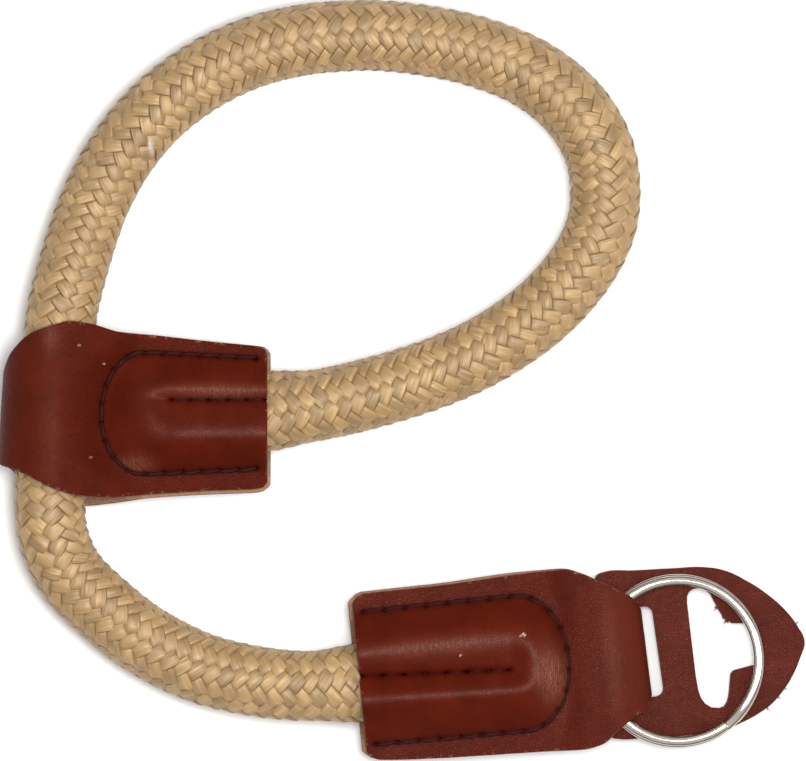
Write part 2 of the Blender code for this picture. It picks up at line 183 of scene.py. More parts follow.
# The rope's middle line: from its end in the slider, round the wrist loop, through the slider's fold
# and on to its end in the tab. The last number of a point says how high the rope lies there: 0 on the
# surface, 1 on the slider's lower layer
ROPE_ROUTE = [
    (-0.0382, 0.0178, 0.75), (-0.0285, 0.0178, 0.35), (-0.0189, 0.0180, 0.07), (-0.0103, 0.0192, 0.00),
    (-0.0009, 0.0216, 0.00), (0.0068, 0.0243, 0.00), (0.0133, 0.0276, 0.00), (0.0196, 0.0322, 0.00),
    (0.0246, 0.0378, 0.00), (0.0275, 0.0434, 0.00), (0.0282, 0.0490, 0.00), (0.0272, 0.0548, 0.00),
    (0.0237, 0.0605, 0.00), (0.0180, 0.0651, 0.00), (0.0108, 0.0681, 0.00), (0.0037, 0.0697, 0.00),
    (-0.0033, 0.0705, 0.00), (-0.0088, 0.0704, 0.00), (-0.0145, 0.0698, 0.00), (-0.0214, 0.0680, 0.00),
    (-0.0282, 0.0647, 0.00), (-0.0345, 0.0599, 0.00), (-0.0392, 0.0543, 0.00), (-0.0424, 0.0487, 0.00),
    (-0.0443, 0.0440, 0.15), (-0.0464, 0.0370, 0.65), (-0.0478, 0.0305, 1.00), (-0.0488, 0.0190, 1.00),
    (-0.0493, 0.0085, 1.00), (-0.0493, 0.0045, 1.00), (-0.0487, 0.0000, 0.80), (-0.0463, -0.0050, 0.25),
    (-0.0411, -0.0101, 0.00), (-0.0356, -0.0142, 0.00), (-0.0285, -0.0177, 0.00),
    (-0.0214, -0.0195, 0.00), (-0.0145, -0.0203, 0.00), (-0.0080, -0.0200, 0.07),
    (0.0060, -0.0184, 0.07), (0.0181, -0.0170, 0.07),
]


def rows_of(kind, *rows):
    """A table's rows as tuples whose numbers have names."""
    return [kind(*row) for row in rows]


class Section(NamedTuple):
    """A cut across a leather strip, in shares: of the way to the fold, and of half its width."""

    along: float
    upper_left: float
    upper_right: float
    lower_left: float
    lower_right: float


class Turn(NamedTuple):
    """A cut across the fold: how far round it, 0 above to 1 below, and the strip's two edges."""

    round: float
    left: float
    right: float


class Gather(NamedTuple):
    """A spot of a strip's plan where the leather is gathered into fine wrinkles and painted lighter:
    partly its wear, partly a painted highlight.
    """

    x: float
    y: float
    half_length: float
    half_width: float
    share: float


class LeatherEnd(NamedTuple):
    """A leather strip folded in two, with the rope's end sewn in and something held in its fold.

    In its own frame X runs from the mouth to the fold and Z is up. The pocket is what the outer row of
    stitches encloses. The drop is the way of the strip's middle from the pocket's height to the fold's,
    the rise is the way in which the layers part from the pocket's end to the fold, and the groove is the
    dip that the middle row of stitches pulls in.
    """

    mouth: tuple
    heading: float
    stitch_margin: float
    flange: float
    lower_overhang: float
    pocket_length: float
    pocket_end: float
    pocket_flare: float
    pinch_setback: float
    fold_room: float
    fold_reach: float
    fold_lean: float
    fold_lift: float
    fold_half_height: float
    drop_start: float
    drop_end: float
    rise_power: float
    rise_run: float
    groove_start: tuple
    groove_end: tuple
    groove_left: tuple
    groove_right: tuple
    groove_depth: float
    flatness: float
    seam_start: float
    crest: float
    stitch_share: float
    stitch_sunk: float
    gloss: float
    end_slope: tuple
    droop: float
    wear: float
    gathers: list
    flecks: list
    sections: list
    turns: list

    @property
    def pocket_half_width(self):
        return ROPE_SEWN_WIDTH / 2 + self.stitch_margin

    @property
    def half_width(self):
        return self.pocket_half_width + self.flange

    @property
    def fold_start(self):
        return self.pocket_length + self.fold_room

    @property
    def fold_height(self):
        return self.fold_lift + LEATHER / 2 + self.fold_half_height


# Half the distance between the middles of the two leather layers: lying on each other, over the
# sewn rope, in the slider's fold round the rope, and in the tab's fold over the pad's bar and the ring
LAYERS_CLOSED = (LEATHER + CLEARANCE) / 2
ROPE_CROWN = ROPE_SEWN_HEIGHT / 2 + CLEARANCE + LEATHER / 2 + STITCH_GROOVE_DEPTH
LOOP_HALF_HEIGHT = ROPE_DIAMETER / 2 + CLEARANCE + LEATHER / 2
TAB_FOLD_HALF_HEIGHT = (LEATHER + PAD_THICKNESS + RING_HEIGHT + 3 * CLEARANCE + TAB_FOLD_SLACK) / 2

# The sewn rope's middle, and how high the rope lies on the slider's lower layer
POCKET_HEIGHT = LEATHER + CLEARANCE + ROPE_SEWN_HEIGHT / 2
SLIDER_LIFT = LEATHER + CLEARANCE

SLIDER = LeatherEnd(
    mouth=(-0.01894, 0.01778),
    heading=math.pi,
    stitch_margin=0.00195,
    flange=0.0049,
    lower_overhang=0.0004,
    pocket_length=0.0234,
    pocket_end=0.0056,
    pocket_flare=0.0009,
    pinch_setback=0.0084,
    fold_room=LOOP_HALF_HEIGHT + SLIDER_SLACK_BEHIND_ROPE,
    fold_reach=LOOP_HALF_HEIGHT + SLIDER_SLACK_BEFORE_ROPE,
    fold_lean=0.067,
    fold_lift=0.0,
    fold_half_height=LOOP_HALF_HEIGHT,
    drop_start=0.0,
    drop_end=0.87,
    rise_power=1.8,
    rise_run=2 * LOOP_HALF_HEIGHT,
    groove_start=(-0.0010, -0.0019),
    groove_end=(0.0135, -0.0019),
    groove_left=(0.0012, 0.0012),
    groove_right=(0.0048, 0.0048),
    groove_depth=0.0015,
    flatness=2.3,
    seam_start=0.0017,
    crest=0.0013,
    stitch_share=1.0,
    stitch_sunk=0.0,
    gloss=0.073,
    end_slope=(0.0120, 0.0215, 0.50),
    droop=0.0002,
    wear=0.05,
    gathers=rows_of(
        Gather,
        (0.0068, -0.0030, 0.0062, 0.0009, 0.5), (0.0183, 0.0070, 0.0022, 0.0013, 0.7),
        (0.0301, -0.0106, 0.0010, 0.0020, 0.35), (0.0302, 0.0020, 0.0012, 0.0080, 0.08),
    ),
    flecks=[(0.0263, -0.0095), (0.0231, -0.0071), (0.0249, 0.0063)],
    sections=rows_of(
        Section,
        (0.000, -0.66, 0.76, -0.66, 0.80), (0.020, -0.73, 0.83, -0.73, 0.86),
        (0.060, -0.75, 0.85, -0.75, 0.89), (0.270, -0.80, 0.87, -0.79, 0.91),
        (0.540, -0.87, 0.91, -0.86, 0.95), (0.715, -0.91, 0.94, -0.90, 1.01),
        (0.850, -1.00, 0.92, -0.97, 1.04), (0.950, -1.03, 0.86, -1.00, 1.00),
        (1.000, -1.00, 0.81, -0.99, 0.94),
    ),
    turns=rows_of(
        Turn,
        (0.00, -1.00, 0.81), (0.17, -0.90, 0.67), (0.33, -0.70, 0.60), (0.50, -0.47, 0.57),
        (0.67, -0.66, 0.60), (0.83, -0.88, 0.76), (1.00, -0.99, 0.94),
    ),
)

TAB = LeatherEnd(
    mouth=(-0.00613, -0.01932),
    heading=math.radians(5.5),
    stitch_margin=0.00365,
    flange=0.0034,
    lower_overhang=0.0006,
    pocket_length=0.0293,
    pocket_end=0.0066,
    pocket_flare=0.0002,
    pinch_setback=0.0020,
    fold_room=0.0082,
    fold_reach=TAB_FOLD_DEPTH + LEATHER / 2,
    fold_lean=-0.03,
    fold_lift=TAB_FOLD_LIFT,
    fold_half_height=TAB_FOLD_HALF_HEIGHT,
    drop_start=0.70,
    drop_end=0.893,
    rise_power=4.0,
    rise_run=0.0082,
    groove_start=(-0.0010, 0.0004),
    groove_end=(0.0210, -0.0007),
    groove_left=(0.0022, 0.0022),
    groove_right=(0.0022, 0.0048),
    groove_depth=0.0019,
    flatness=2.4,
    seam_start=0.0014,
    crest=0.0,
    stitch_share=1.12,
    stitch_sunk=0.00022,
    gloss=0.125,
    end_slope=(0.0240, 0.0290, 0.0),
    droop=0.0014,
    wear=0.12,
    gathers=rows_of(
        Gather,
        (0.0266, -0.0022, 0.0017, 0.0034, 1.0), (0.0318, -0.0010, 0.0016, 0.0085, 0.05),
        (0.0354, 0.0000, 0.0014, 0.0085, 0.20), (0.0100, 0.0034, 0.0090, 0.0012, 0.3),
    ),
    flecks=[(0.0230, 0.0038), (0.0233, 0.0040), (0.0235, 0.0038), (0.0144, 0.0021), (0.0224, 0.0093)],
    sections=rows_of(
        Section,
        (0.000, -0.81, 0.83, -0.79, 0.84), (0.020, -0.87, 0.90, -0.86, 0.91),
        (0.050, -0.91, 0.93, -0.90, 0.95), (0.330, -0.96, 0.94, -0.95, 0.96),
        (0.640, -0.99, 0.98, -0.98, 1.00), (0.800, -1.01, 0.99, -0.99, 0.99),
        (0.870, -0.97, 0.92, -0.91, 0.88), (0.940, -0.82, 0.80, -0.70, 0.67),
        (1.000, -0.70, 0.69, -0.48, 0.46),
    ),
    turns=rows_of(
        Turn,
        (0.00, -0.70, 0.69), (0.17, -0.65, 0.63), (0.33, -0.57, 0.54), (0.50, -0.49, 0.46),
        (0.67, -0.46, 0.44), (0.83, -0.46, 0.44), (1.00, -0.48, 0.46),
    ),
)


class Outline(NamedTuple):
    """A point of the pad's edge: a share of its length from the bar end, and one of half its width."""

    along: float
    across: float


PAD_OUTLINE = rows_of(
    Outline,
    (0.000, 0.850), (0.008, 0.945), (0.045, 0.985), (0.205, 0.970), (0.390, 0.951), (0.545, 0.928),
    (0.645, 0.861), (0.750, 0.707), (0.830, 0.553), (0.920, 0.322), (0.973, 0.114), (1.000, -0.070),
    (0.971, -0.261), (0.926, -0.461), (0.883, -0.601), (0.815, -0.766), (0.736, -0.882),
    (0.672, -0.948), (0.580, -1.015), (0.460, -1.050), (0.320, -1.055), (0.175, -1.035),
    (0.045, -1.020), (0.008, -0.985), (0.000, -0.880),
)

# The T-shaped slot for a lug, cut by hand and ragged at its upper right
TEE_OUTLINE = rows_of(
    Outline,
    (0.441, 0.525), (0.449, -0.349), (0.455, -0.530), (0.465, -0.630), (0.484, -0.700), (0.511, -0.748),
    (0.550, -0.766), (0.573, -0.752), (0.590, -0.705), (0.600, -0.640), (0.607, -0.566),
    (0.621, -0.374), (0.636, -0.333), (0.772, -0.280), (0.772, 0.195), (0.650, 0.228), (0.640, 0.258),
    (0.634, 0.236), (0.624, 0.250), (0.618, 0.294), (0.609, 0.290), (0.608, 0.330), (0.596, 0.390),
    (0.588, 0.424), (0.575, 0.434), (0.585, 0.455), (0.578, 0.490), (0.560, 0.600), (0.535, 0.662),
    (0.508, 0.683), (0.478, 0.680), (0.455, 0.650), (0.444, 0.600),
)


class Fray(NamedTuple):
    """A tuft of loose fibres at the pad's edge: its root as in an outline, its way and its length."""

    along: float
    across: float
    degrees: float
    length: float


FRAYS = rows_of(
    Fray,
    (0.872, -0.585, -42.0, 0.0012), (0.836, -0.690, -35.0, 0.0011), (0.782, -0.808, -60.0, 0.0010),
    (0.966, 0.150, 35.0, 0.0006), (0.592, 0.430, 200.0, 0.0009), (0.626, 0.262, 215.0, 0.0008),
)


def length_property(name, description, default):
    return bpy.props.FloatProperty(
        name=name, description=description, default=default, unit="LENGTH", precision=5, min=0.0
    )


def colour_property(name, description, default):
    return bpy.props.FloatVectorProperty(
        name=name, description=description, default=default, subtype="COLOR", size=3, min=0.0, max=1.0
    )


def power_property(name, description, default):
    return bpy.props.FloatProperty(
        name=name, description=description, default=default, unit="POWER", min=0.0
    )


class RopeSettings(bpy.types.PropertyGroup):
    """The braided rope."""

    yarns: bpy.props.IntProperty(
        name="Yarns",
        description="Yarns wound each way round the core, an even number",
        default=12,
        min=4,
        step=2,
    )
    lay: length_property("Lay", "Length of rope in which a yarn goes once round", 0.0242)
    yarn_width: length_property("Yarn width", "Width of one flat yarn", 0.00212)
    yarn_thickness: length_property("Yarn thickness", "Thickness of one flat yarn", 0.00066)
    weave_depth: length_property("Weave depth", "How far a yarn rises and dips at its crossings", 0.00036)
    lean: length_property("Lean", "How much higher one edge of a yarn lies than its middle", 0.00011)
    colour: colour_property("Colour", "The yarns where they lie on top", (0.392, 0.246, 0.106))
    shade: colour_property("Shade", "The yarns where they dive below others", (0.083, 0.032, 0.005))


class LeatherSettings(bpy.types.PropertyGroup):
    """The folded leather ends and the pad."""

    grain: length_property("Grain", "Size of one cell of the leather's grain", 0.00039)
    edge_round: length_property("Edge rounding", "How far in from a cut edge it is rounded off", 0.00030)
    stitch: length_property("Stitch length", "From one needle hole to the next", 0.0026)
    thread: length_property("Thread", "Diameter of the sewing thread", 0.00062)
    colour: colour_property("Colour", "The dyed grain side", (0.092, 0.0098, 0.0034))
    deep: colour_property("Deep colour", "The dye where it is darkest", (0.063, 0.0064, 0.0024))
    # The worn colour is also a painted highlight where the leather is gathered
    wear_and_highlight: colour_property("Worn colour", "The dye where it is bent or gathered", (0.185, 0.050, 0.026))
    raw: colour_property("Raw leather", "Cut edges and the flesh side", (0.41, 0.220, 0.130))
    thread_colour: colour_property("Thread colour", "The waxed thread", (0.019, 0.0040, 0.0030))


class RingSettings(bpy.types.PropertyGroup):
    """The split ring."""

    roundness: bpy.props.FloatProperty(
        name="Roundness",
        description="2 for an oval wire, higher for a flatter one",
        default=2.0,
        min=1.5,
        max=8.0,
    )
    colour: colour_property("Colour", "Polished nickel", (0.57, 0.505, 0.44))


class StageSettings(bpy.types.PropertyGroup):
    """The floor, the light and the camera."""

    floor_colour: colour_property("Floor", "The pale floor", (0.94, 0.94, 0.93))
    key_power: power_property("Softbox", "Power of the softbox overhead", 2.9)
    fill_power: power_property("Side softbox", "Power of the softbox at the side", 1.5)
    sky: bpy.props.FloatProperty(
        name="Surround", description="Strength of the light from overhead", default=0.88, min=0.0
    )
    camera_height: length_property("Camera height", "Of the camera above the floor", 2.0)
    view_width: length_property("View width", "What the camera takes in from side to side", 0.11284)


def smoothstep(low, high, value):
    share = np.clip((value - low) / (high - low), 0.0, 1.0)
    return share * share * (3.0 - 2.0 * share)


def eased(where, places, values):
    """A smooth curve through a table's values, which never swings past them."""
    places = np.array(places)
    values = np.array(values)
    steps = np.diff(values) / np.diff(places)
    product = steps[1:] * steps[:-1]
    total = steps[1:] + steps[:-1]
    slopes = np.zeros(len(values))
    slopes[1:-1] = np.where(product > 0.0, 2.0 * product / np.where(product > 0.0, total, 1.0), 0.0)
    slopes[0] = steps[0]
    slopes[-1] = steps[-1]
    span = np.clip(np.searchsorted(places, where, side="right") - 1, 0, len(places) - 2)
    width = places[span + 1] - places[span]
    share = (where - places[span]) / width
    rest = 1.0 - share
    start = rest * rest * ((1.0 + 2.0 * share) * values[span] + share * width * slopes[span])
    end = share * share * ((1.0 + 2.0 * rest) * values[span + 1] - rest * width * slopes[span + 1])
    return start + end


def smooth_through(points, count):
    """The given number of evenly spaced points on one smooth curve through the route's own points."""
    points = np.array(points)
    dense = []
    padded = np.vstack([2 * points[0] - points[1], points, 2 * points[-1] - points[-2]])
    for before, start, end, after in zip(padded, padded[1:], padded[2:], padded[3:]):
        for share in np.linspace(0.0, 1.0, ROUTE_STEPS, endpoint=False):
            dense.append(
                0.5
                * (
                    2 * start
                    + (end - before) * share
                    + (2 * before - 5 * start + 4 * end - after) * share**2
                    + (3 * start - before - 3 * end + after) * share**3
                )
            )
    dense = np.array([*dense, points[-1]])
    reached = np.r_[0.0, np.cumsum(np.linalg.norm(np.diff(dense[:, :2], axis=0), axis=1))]
    wanted = np.linspace(0.0, reached[-1], count)
    return np.stack([np.interp(wanted, reached, dense[:, axis]) for axis in range(3)], axis=-1)


def ripple(x, y, length, phase):
    """A soft unevenness with humps about that length apart, from -1 to 1."""
    turn = 2 * math.pi / length
    broad = np.sin(turn * (x + 0.35 * y) + phase) * np.sin(turn * (0.8 * y - 0.3 * x) + 1.7 * phase)
    small = np.sin(1.9 * turn * (0.6 * x + 0.9 * y) + 2.3 * phase)
    return (broad + 0.5 * small) / 1.5


def unit(vectors):
    return vectors / np.linalg.norm(vectors, axis=-1, keepdims=True)


def moved(matrix, points):
    """Points taken through a 4x4 matrix."""
    matrix = np.array(matrix)
    return points @ matrix[:3, :3].T + matrix[:3, 3]


def end_matrix(end):
    """From a leather end's own frame, X from its mouth to its fold, to the strap's."""
    return Matrix.Translation((*end.mouth, 0.0)) @ Matrix.Rotation(end.heading, 4, "Z")


def groove_shares(end, x, y):
    """How much of the groove and of its crease a point has. The middle row of stitches pulls both in."""
    along = np.clip((x - end.groove_start[0]) / (end.groove_end[0] - end.groove_start[0]), 0.0, 1.0)
    middle = end.groove_start[1] + along * (end.groove_end[1] - end.groove_start[1])
    past_end = np.maximum(x - end.groove_end[0], 0.0)
    left, right = (
        width[0] + along * (width[1] - width[0]) for width in (end.groove_left, end.groove_right)
    )
    flank = np.where(y > middle, right, left)
    broad = np.exp(-((y - middle) / flank) ** 2 - (past_end / (0.5 * (left + right))) ** 2)
    narrow = np.exp(-(np.hypot(y - middle, past_end) / CREASE_WIDTH) ** 2)
    return broad, narrow


def pocket_share(end, x, y):
    """Where a point lies in the sewn pocket: 0 on its middle line, 1 on the stitches round it."""
    straight = end.pocket_length - end.pocket_end
    half_width = end.pocket_half_width + end.pocket_flare * np.minimum(x / straight, 1.0)
    return np.hypot(y / half_width, np.maximum(x - straight, 0.0) / end.pocket_end)


def middle_height(end, x):
    """The height of the plane between a leather end's two layers."""
    dropped = smoothstep(end.drop_start, end.drop_end, x / end.fold_start)
    return POCKET_HEIGHT + (end.fold_height - POCKET_HEIGHT) * dropped


def half_gap(end, x, y):
    """Half the distance between the middles of the two layers, at points of the strip's plan."""
    off_crest = y - end.crest * np.maximum(1.0 - (y / end.pocket_half_width) ** 2, 0.0)
    pocket = np.minimum(pocket_share(end, x, off_crest), 1.0)
    crown = (1.0 - pocket**end.flatness) ** POCKET_FULLNESS
    crown = crown * (1.0 - end.end_slope[2] * smoothstep(end.end_slope[0], end.end_slope[1], x))
    over_rope = LAYERS_CLOSED + (ROPE_CROWN - LAYERS_CLOSED) * crown
    fold_start = end.fold_start + end.fold_lean * y
    pinch = end.pocket_length - end.pinch_setback * (y / end.half_width) ** 2
    across = np.minimum(abs(y) / (end.pocket_half_width + end.pocket_flare), 1.0)
    pocket_edge = end.pocket_length - end.pocket_end * (1.0 - np.sqrt(1.0 - across**2))
    run = fold_start - np.maximum(pinch, pocket_edge)
    to_fold = np.clip((fold_start - x) / run, 0.0, 1.0)
    opened = (1.0 - to_fold**end.rise_power) ** np.maximum(run / end.rise_run, 1.0)
    beyond = LAYERS_CLOSED + (end.fold_half_height - LAYERS_CLOSED) * opened
    return np.where(pocket < 1.0, over_rope, beyond)


class Table(NamedTuple):
    """Numbers on an even grid over a leather end's plan, read between its points."""

    corner: tuple
    values: np.ndarray

    def at(self, x, y):
        row = np.clip((x - self.corner[0]) / TABLE_STEP, 0.0, self.values.shape[0] - 1.001)
        column = np.clip((y - self.corner[1]) / TABLE_STEP, 0.0, self.values.shape[1] - 1.001)
        low, left = row.astype(int), column.astype(int)
        up, across = row - low, column - left
        near = self.values[low, left] * (1.0 - across) + self.values[low, left + 1] * across
        far = self.values[low + 1, left] * (1.0 - across) + self.values[low + 1, left + 1] * across
        return near * (1.0 - up) + far * up


def gap_table(end):
    """Half the gap between the layers as stiff leather takes it: no sharp turns, and the groove."""
    x = np.arange(-0.003, end.fold_start + 0.003, TABLE_STEP)[:, None]
    y = np.arange(-1.2 * end.half_width, 1.2 * end.half_width, TABLE_STEP)[None, :]
    sharp = half_gap(end, np.maximum(x, 0.0), y)
    values = sharp
    for _ in range(STIFFNESS_PASSES):
        padded = np.pad(values, 1, mode="edge")
        rows = (padded[:-2] + 2.0 * padded[1:-1] + padded[2:]) / 4.0
        values = (rows[:, :-2] + 2.0 * rows[:, 1:-1] + rows[:, 2:]) / 4.0
    near_fold = smoothstep(-0.0015, -0.0002, x - end.fold_start - end.fold_lean * y)
    values = values + near_fold * (sharp - values)
    broad, narrow = groove_shares(end, x, y)
    crown = (values - LAYERS_CLOSED) / (ROPE_CROWN - LAYERS_CLOSED)
    inside = smoothstep(1.0, 0.6, pocket_share(end, np.maximum(x, 0.0), y))
    values = values - inside * crown * (end.groove_depth * broad + CREASE_DEPTH * narrow)
    return Table((x[0, 0], y[0, 0]), values)


def seam_lines(end):
    """The rows of stitches of a leather end, in its plan: round the pocket, and down its middle."""
    straight = end.pocket_length - end.pocket_end
    quarter = np.linspace(0.0, math.pi / 2, BEND_POINTS)
    side_x = np.linspace(end.seam_start, straight, SEAM_POINTS)
    side_y = SEAM_INSET * (end.pocket_half_width + end.pocket_flare * side_x / straight)
    bend_x = straight + SEAM_INSET * end.pocket_end * np.sin(quarter)
    bend_y = side_y[-1] * np.cos(quarter)
    half = np.stack([np.r_[side_x, bend_x[1:]], np.r_[side_y, bend_y[1:]]], axis=-1)
    around = np.vstack([half, (half * (1.0, -1.0))[-2::-1]])
    middle = np.linspace((MIDDLE_SEAM_START, end.groove_start[1]), end.groove_end, SEAM_POINTS)
    return [around, middle]


def evenly(line, step):
    """Points on a line in the plan, as near to that step apart as fits it."""
    reached = np.r_[0.0, np.cumsum(np.linalg.norm(np.diff(line, axis=0), axis=1))]
    wanted = np.linspace(0.0, reached[-1], round(reached[-1] / step) + 1)
    return np.stack([np.interp(wanted, reached, line[:, axis]) for axis in range(2)], axis=-1)


def nearest(x, y, points):
    """How far each point of the plan is from the nearest of some others."""
    best = np.full(np.shape(x), np.inf)
    for px, py in points:
        best = np.minimum(best, np.hypot(x - px, y - py))
    return best


def near_seam(end, x, y):
    """1 on the rows of stitches of a leather end, falling off to 0 beside them."""
    along_seam = np.vstack([evenly(line, SEAM_WIDTH / 3) for line in seam_lines(end)])
    return np.exp(-((nearest(x, y, along_seam) / SEAM_WIDTH) ** 2))


def near_hole(end, x, y, stitch):
    """1 in the middle of a needle hole, falling off to 0 round it."""
    holes = np.vstack([evenly(line, stitch * end.stitch_share) for line in seam_lines(end)])
    return np.exp(-((nearest(x, y, holes) / HOLE_WIDTH) ** 2))


def wrinkled(end, x, y):
    """How gathered the leather is, from 0 to 1. This also sets where a highlight is painted."""
    total = 0.0
    for spot in end.gathers:
        along = (x - spot.x) / spot.half_length
        across = (y - spot.y) / spot.half_width
        total = total + spot.share * np.exp(-(along**2) - across**2)
    return np.minimum(total, 1.0)


def drooped(end, x, y):
    """How far the upper layer has sunk where it starts to bend round the fold."""
    return end.droop * smoothstep(-0.0030, 0.0018, x - end.fold_start - end.fold_lean * y)


def polished(end, gaps, x, y):
    """How rubbed and shiny the leather is over the rope: 1 along the tops of its ridges."""
    step = 0.0002
    slope_x = (gaps.at(x + step, y) - gaps.at(x - step, y)) / (2 * step)
    slope_y = (gaps.at(x, y + step) - gaps.at(x, y - step)) / (2 * step)
    raised = (gaps.at(x, y) - LAYERS_CLOSED) / (ROPE_CROWN - LAYERS_CLOSED)
    inside = smoothstep(1.0, 0.8, pocket_share(end, x, y)) * smoothstep(0.25, 0.50, raised)
    return inside * np.exp(-(slope_x**2 + slope_y**2) / CREST_SLOPE**2)


def strip_edge(end, layer, place, side):
    """The strip's left or right edge, as a share of half its width, on each layer and in the fold."""
    along = [row.along for row in end.sections]
    turned = [row.round for row in end.turns]
    upper, lower = (
        eased(place, along, [getattr(row, f"{name}_{side}") for row in end.sections])
        for name in ("upper", "lower")
    )
    fold = eased(place, turned, [getattr(row, side) for row in end.turns])
    return np.select([layer > 0, layer < 0], [upper, lower], fold)


def leather_surface(end, gaps, layer, place, share, stitch):
    """Points of the strip's middle surface, and the marks that its materials read.

    The layer is 1 above, 0 in the fold and -1 below. The place runs from the mouth to the fold in the
    layers, and from above to below in the fold. The share runs from the strip's left edge to its right.
    """
    upper = layer > 0
    left, right = (strip_edge(end, layer, place, side) for side in ("left", "right"))
    y = (left + (right - left) * share) * end.half_width
    fold_start = end.fold_start + end.fold_lean * y
    overhang = np.where(layer < 0, end.lower_overhang, 0.0)
    angle = math.pi * place
    x_flat = place * (fold_start + overhang) - overhang
    x = np.where(layer == 0, fold_start + end.fold_reach * np.sin(angle), x_flat)
    z_flat = middle_height(end, x_flat) + layer * gaps.at(x_flat, y)
    z = np.where(layer == 0, end.fold_height + end.fold_half_height * np.cos(angle), z_flat)
    seam = near_seam(end, x, y)
    top_share = np.select([layer > 0, layer < 0], [1.0, 0.0], 1.0 - smoothstep(0.0, 1.0, place))
    z = z - top_share * drooped(end, x, y)
    z = z - np.where(upper, SEAM_DEPTH * seam, 0.0)
    uneven = UNEVENNESS * ripple(x, y, LEATHER_HUMPS, 0.7)
    z = z + np.where(upper, uneven * smoothstep(0.0, 0.004, fold_start - x), 0.0)
    from_side = np.minimum(share, 1.0 - share) * (right - left) * end.half_width
    from_mouth = np.where(layer == 0, 1.0, x_flat + overhang)
    near_fold = 0.6 * top_share * smoothstep(-0.0030, -0.0005, x - fold_start)
    marks = {
        "seam": np.where(upper, seam, 0.0),
        "hole": np.where(upper, near_hole(end, x, y, stitch), 0.0),
        "pocket": np.where(upper, smoothstep(1.02, 0.80, pocket_share(end, x, y)), 0.0) + near_fold,
        "polish": np.where(upper, polished(end, gaps, x_flat, y), 0.0),
        "edge": np.minimum(from_side, from_mouth),
        "bent": end.wear * top_share * smoothstep(-0.0016, 0.0012, x - fold_start),
        "wrinkle": np.where(layer >= 0, wrinkled(end, x, y), 0.0),
        "fleck": np.where(upper, np.exp(-((nearest(x, y, end.flecks) / FLECK_SIZE) ** 2)), 0.0),
    }
    return np.stack([x, y, np.maximum(z, LEATHER / 2)], axis=-1), marks


def upper_surface(end, gaps, x, y):
    """The outer skin of the upper layer above points of the plan, and which way it faces there."""

    def height(at_x, at_y):
        return middle_height(end, at_x) + gaps.at(at_x, at_y) - SEAM_DEPTH * near_seam(end, at_x, at_y)

    step = 0.0001
    slope_x = (height(x + step, y) - height(x - step, y)) / (2 * step)
    slope_y = (height(x, y + step) - height(x, y - step)) / (2 * step)
    facing = unit(np.stack([-slope_x, -slope_y, np.ones_like(x)], axis=-1))
    return np.stack([x, y, height(x, y)], axis=-1) + facing * LEATHER / 2, facing


def pressed(end, gaps, points):
    """Flattens the rope where it runs into a leather end's pocket, and keeps it under the leather."""
    place = end_matrix(end)
    local = moved(place.inverted(), points)
    inside = smoothstep(-ROPE_PRESS_LENGTH, 0.0, local[..., 0])
    within = (local[..., 0] <= end.pocket_length) & (abs(local[..., 1]) <= ROPE_DIAMETER)
    middle = middle_height(end, np.maximum(local[..., 0], 0.0))
    local[..., 1] *= 1.0 + inside * (ROPE_SEWN_WIDTH / ROPE_DIAMETER - 1.0)
    lower = 1.0 + inside * (ROPE_SEWN_HEIGHT / ROPE_DIAMETER - 1.0)
    room = gaps.at(np.maximum(local[..., 0], 0.0), local[..., 1]) - LEATHER / 2 - UNDER_LEATHER
    room = np.maximum(room, UNDER_LEATHER) + 0.8 * np.maximum(-local[..., 0], 0.0)
    local[..., 2] = middle + np.clip((local[..., 2] - middle) * lower, -room, room)
    return np.where(((inside > 0.0) & within)[..., None], moved(place, local), points)


class Route(NamedTuple):
    """The rope's middle line: the length reached at each point, the points, and the ways across."""

    reached: np.ndarray
    points: np.ndarray
    sides: np.ndarray
    ups: np.ndarray

    @property
    def length(self):
        return float(self.reached[-1])


def rope_route():
    points = smooth_through(ROPE_ROUTE, ROUTE_POINTS)
    points[:, 2] = ROPE_DIAMETER / 2 + SLIDER_LIFT * np.clip(points[:, 2], 0.0, 1.0)
    tangents = unit(np.gradient(points, axis=0))
    sides = unit(np.cross((0.0, 0.0, 1.0), tangents))
    reached = np.r_[0.0, np.cumsum(np.linalg.norm(np.diff(points, axis=0), axis=1))]
    return Route(reached, points, sides, np.cross(tangents, sides))


# The gap table of each leather end, found by its heading
GAPS = {end.heading: gap_table(end) for end in (SLIDER, TAB)}


def on_rope(route, along, angle, out):
    """Points of the rope: how far along it, at what angle from its side to its top, and how far out."""
    angle = angle + DRIFT * np.sin(2 * math.pi * along / DRIFT_LENGTH + 1.0)
    middle, side, up = (
        np.stack([np.interp(along, route.reached, table[:, axis]) for axis in range(3)], axis=-1)
        for table in (route.points, route.sides, route.ups)
    )
    spread = np.cos(angle)[..., None] * side + np.sin(angle)[..., None] * up
    points = middle + out[..., None] * spread
    for end in (SLIDER, TAB):
        points = pressed(end, GAPS[end.heading], points)
    return points


def rest_frame():
    """The sloping plane that the pad and the ring lie on, from the tab's fold to the pad's tip."""
    lift = TAB_FOLD_LIFT + LEATHER + CLEARANCE
    run = PAD_LENGTH - PAD_BAR + PAD_TIP_BULGE
    place = end_matrix(TAB) @ Matrix.Translation((TAB.fold_start + CLEARANCE, 0.0, lift))
    return place @ Matrix.Rotation(math.asin(lift / run), 4, "Y")


def add_object(name, data):
    made = bpy.data.objects.new(name, data)
    bpy.context.scene.collection.objects.link(made)
    return made


def add_piece(name, mesh, body):
    """A finished mesh as a piece of the strap that moves with a body of the frame."""
    made = add_object(name, mesh)
    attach(made, body)
    return made


def settled(made):
    """A piece's mesh with its modifiers and its place worked into it. The object itself goes."""
    graph = bpy.context.evaluated_depsgraph_get()
    mesh = bpy.data.meshes.new_from_object(
        made.evaluated_get(graph), preserve_all_data_layers=True, depsgraph=graph
    )
    mesh.name = made.name
    mesh.transform(made.matrix_world)
    bpy.data.objects.remove(made)
    return mesh


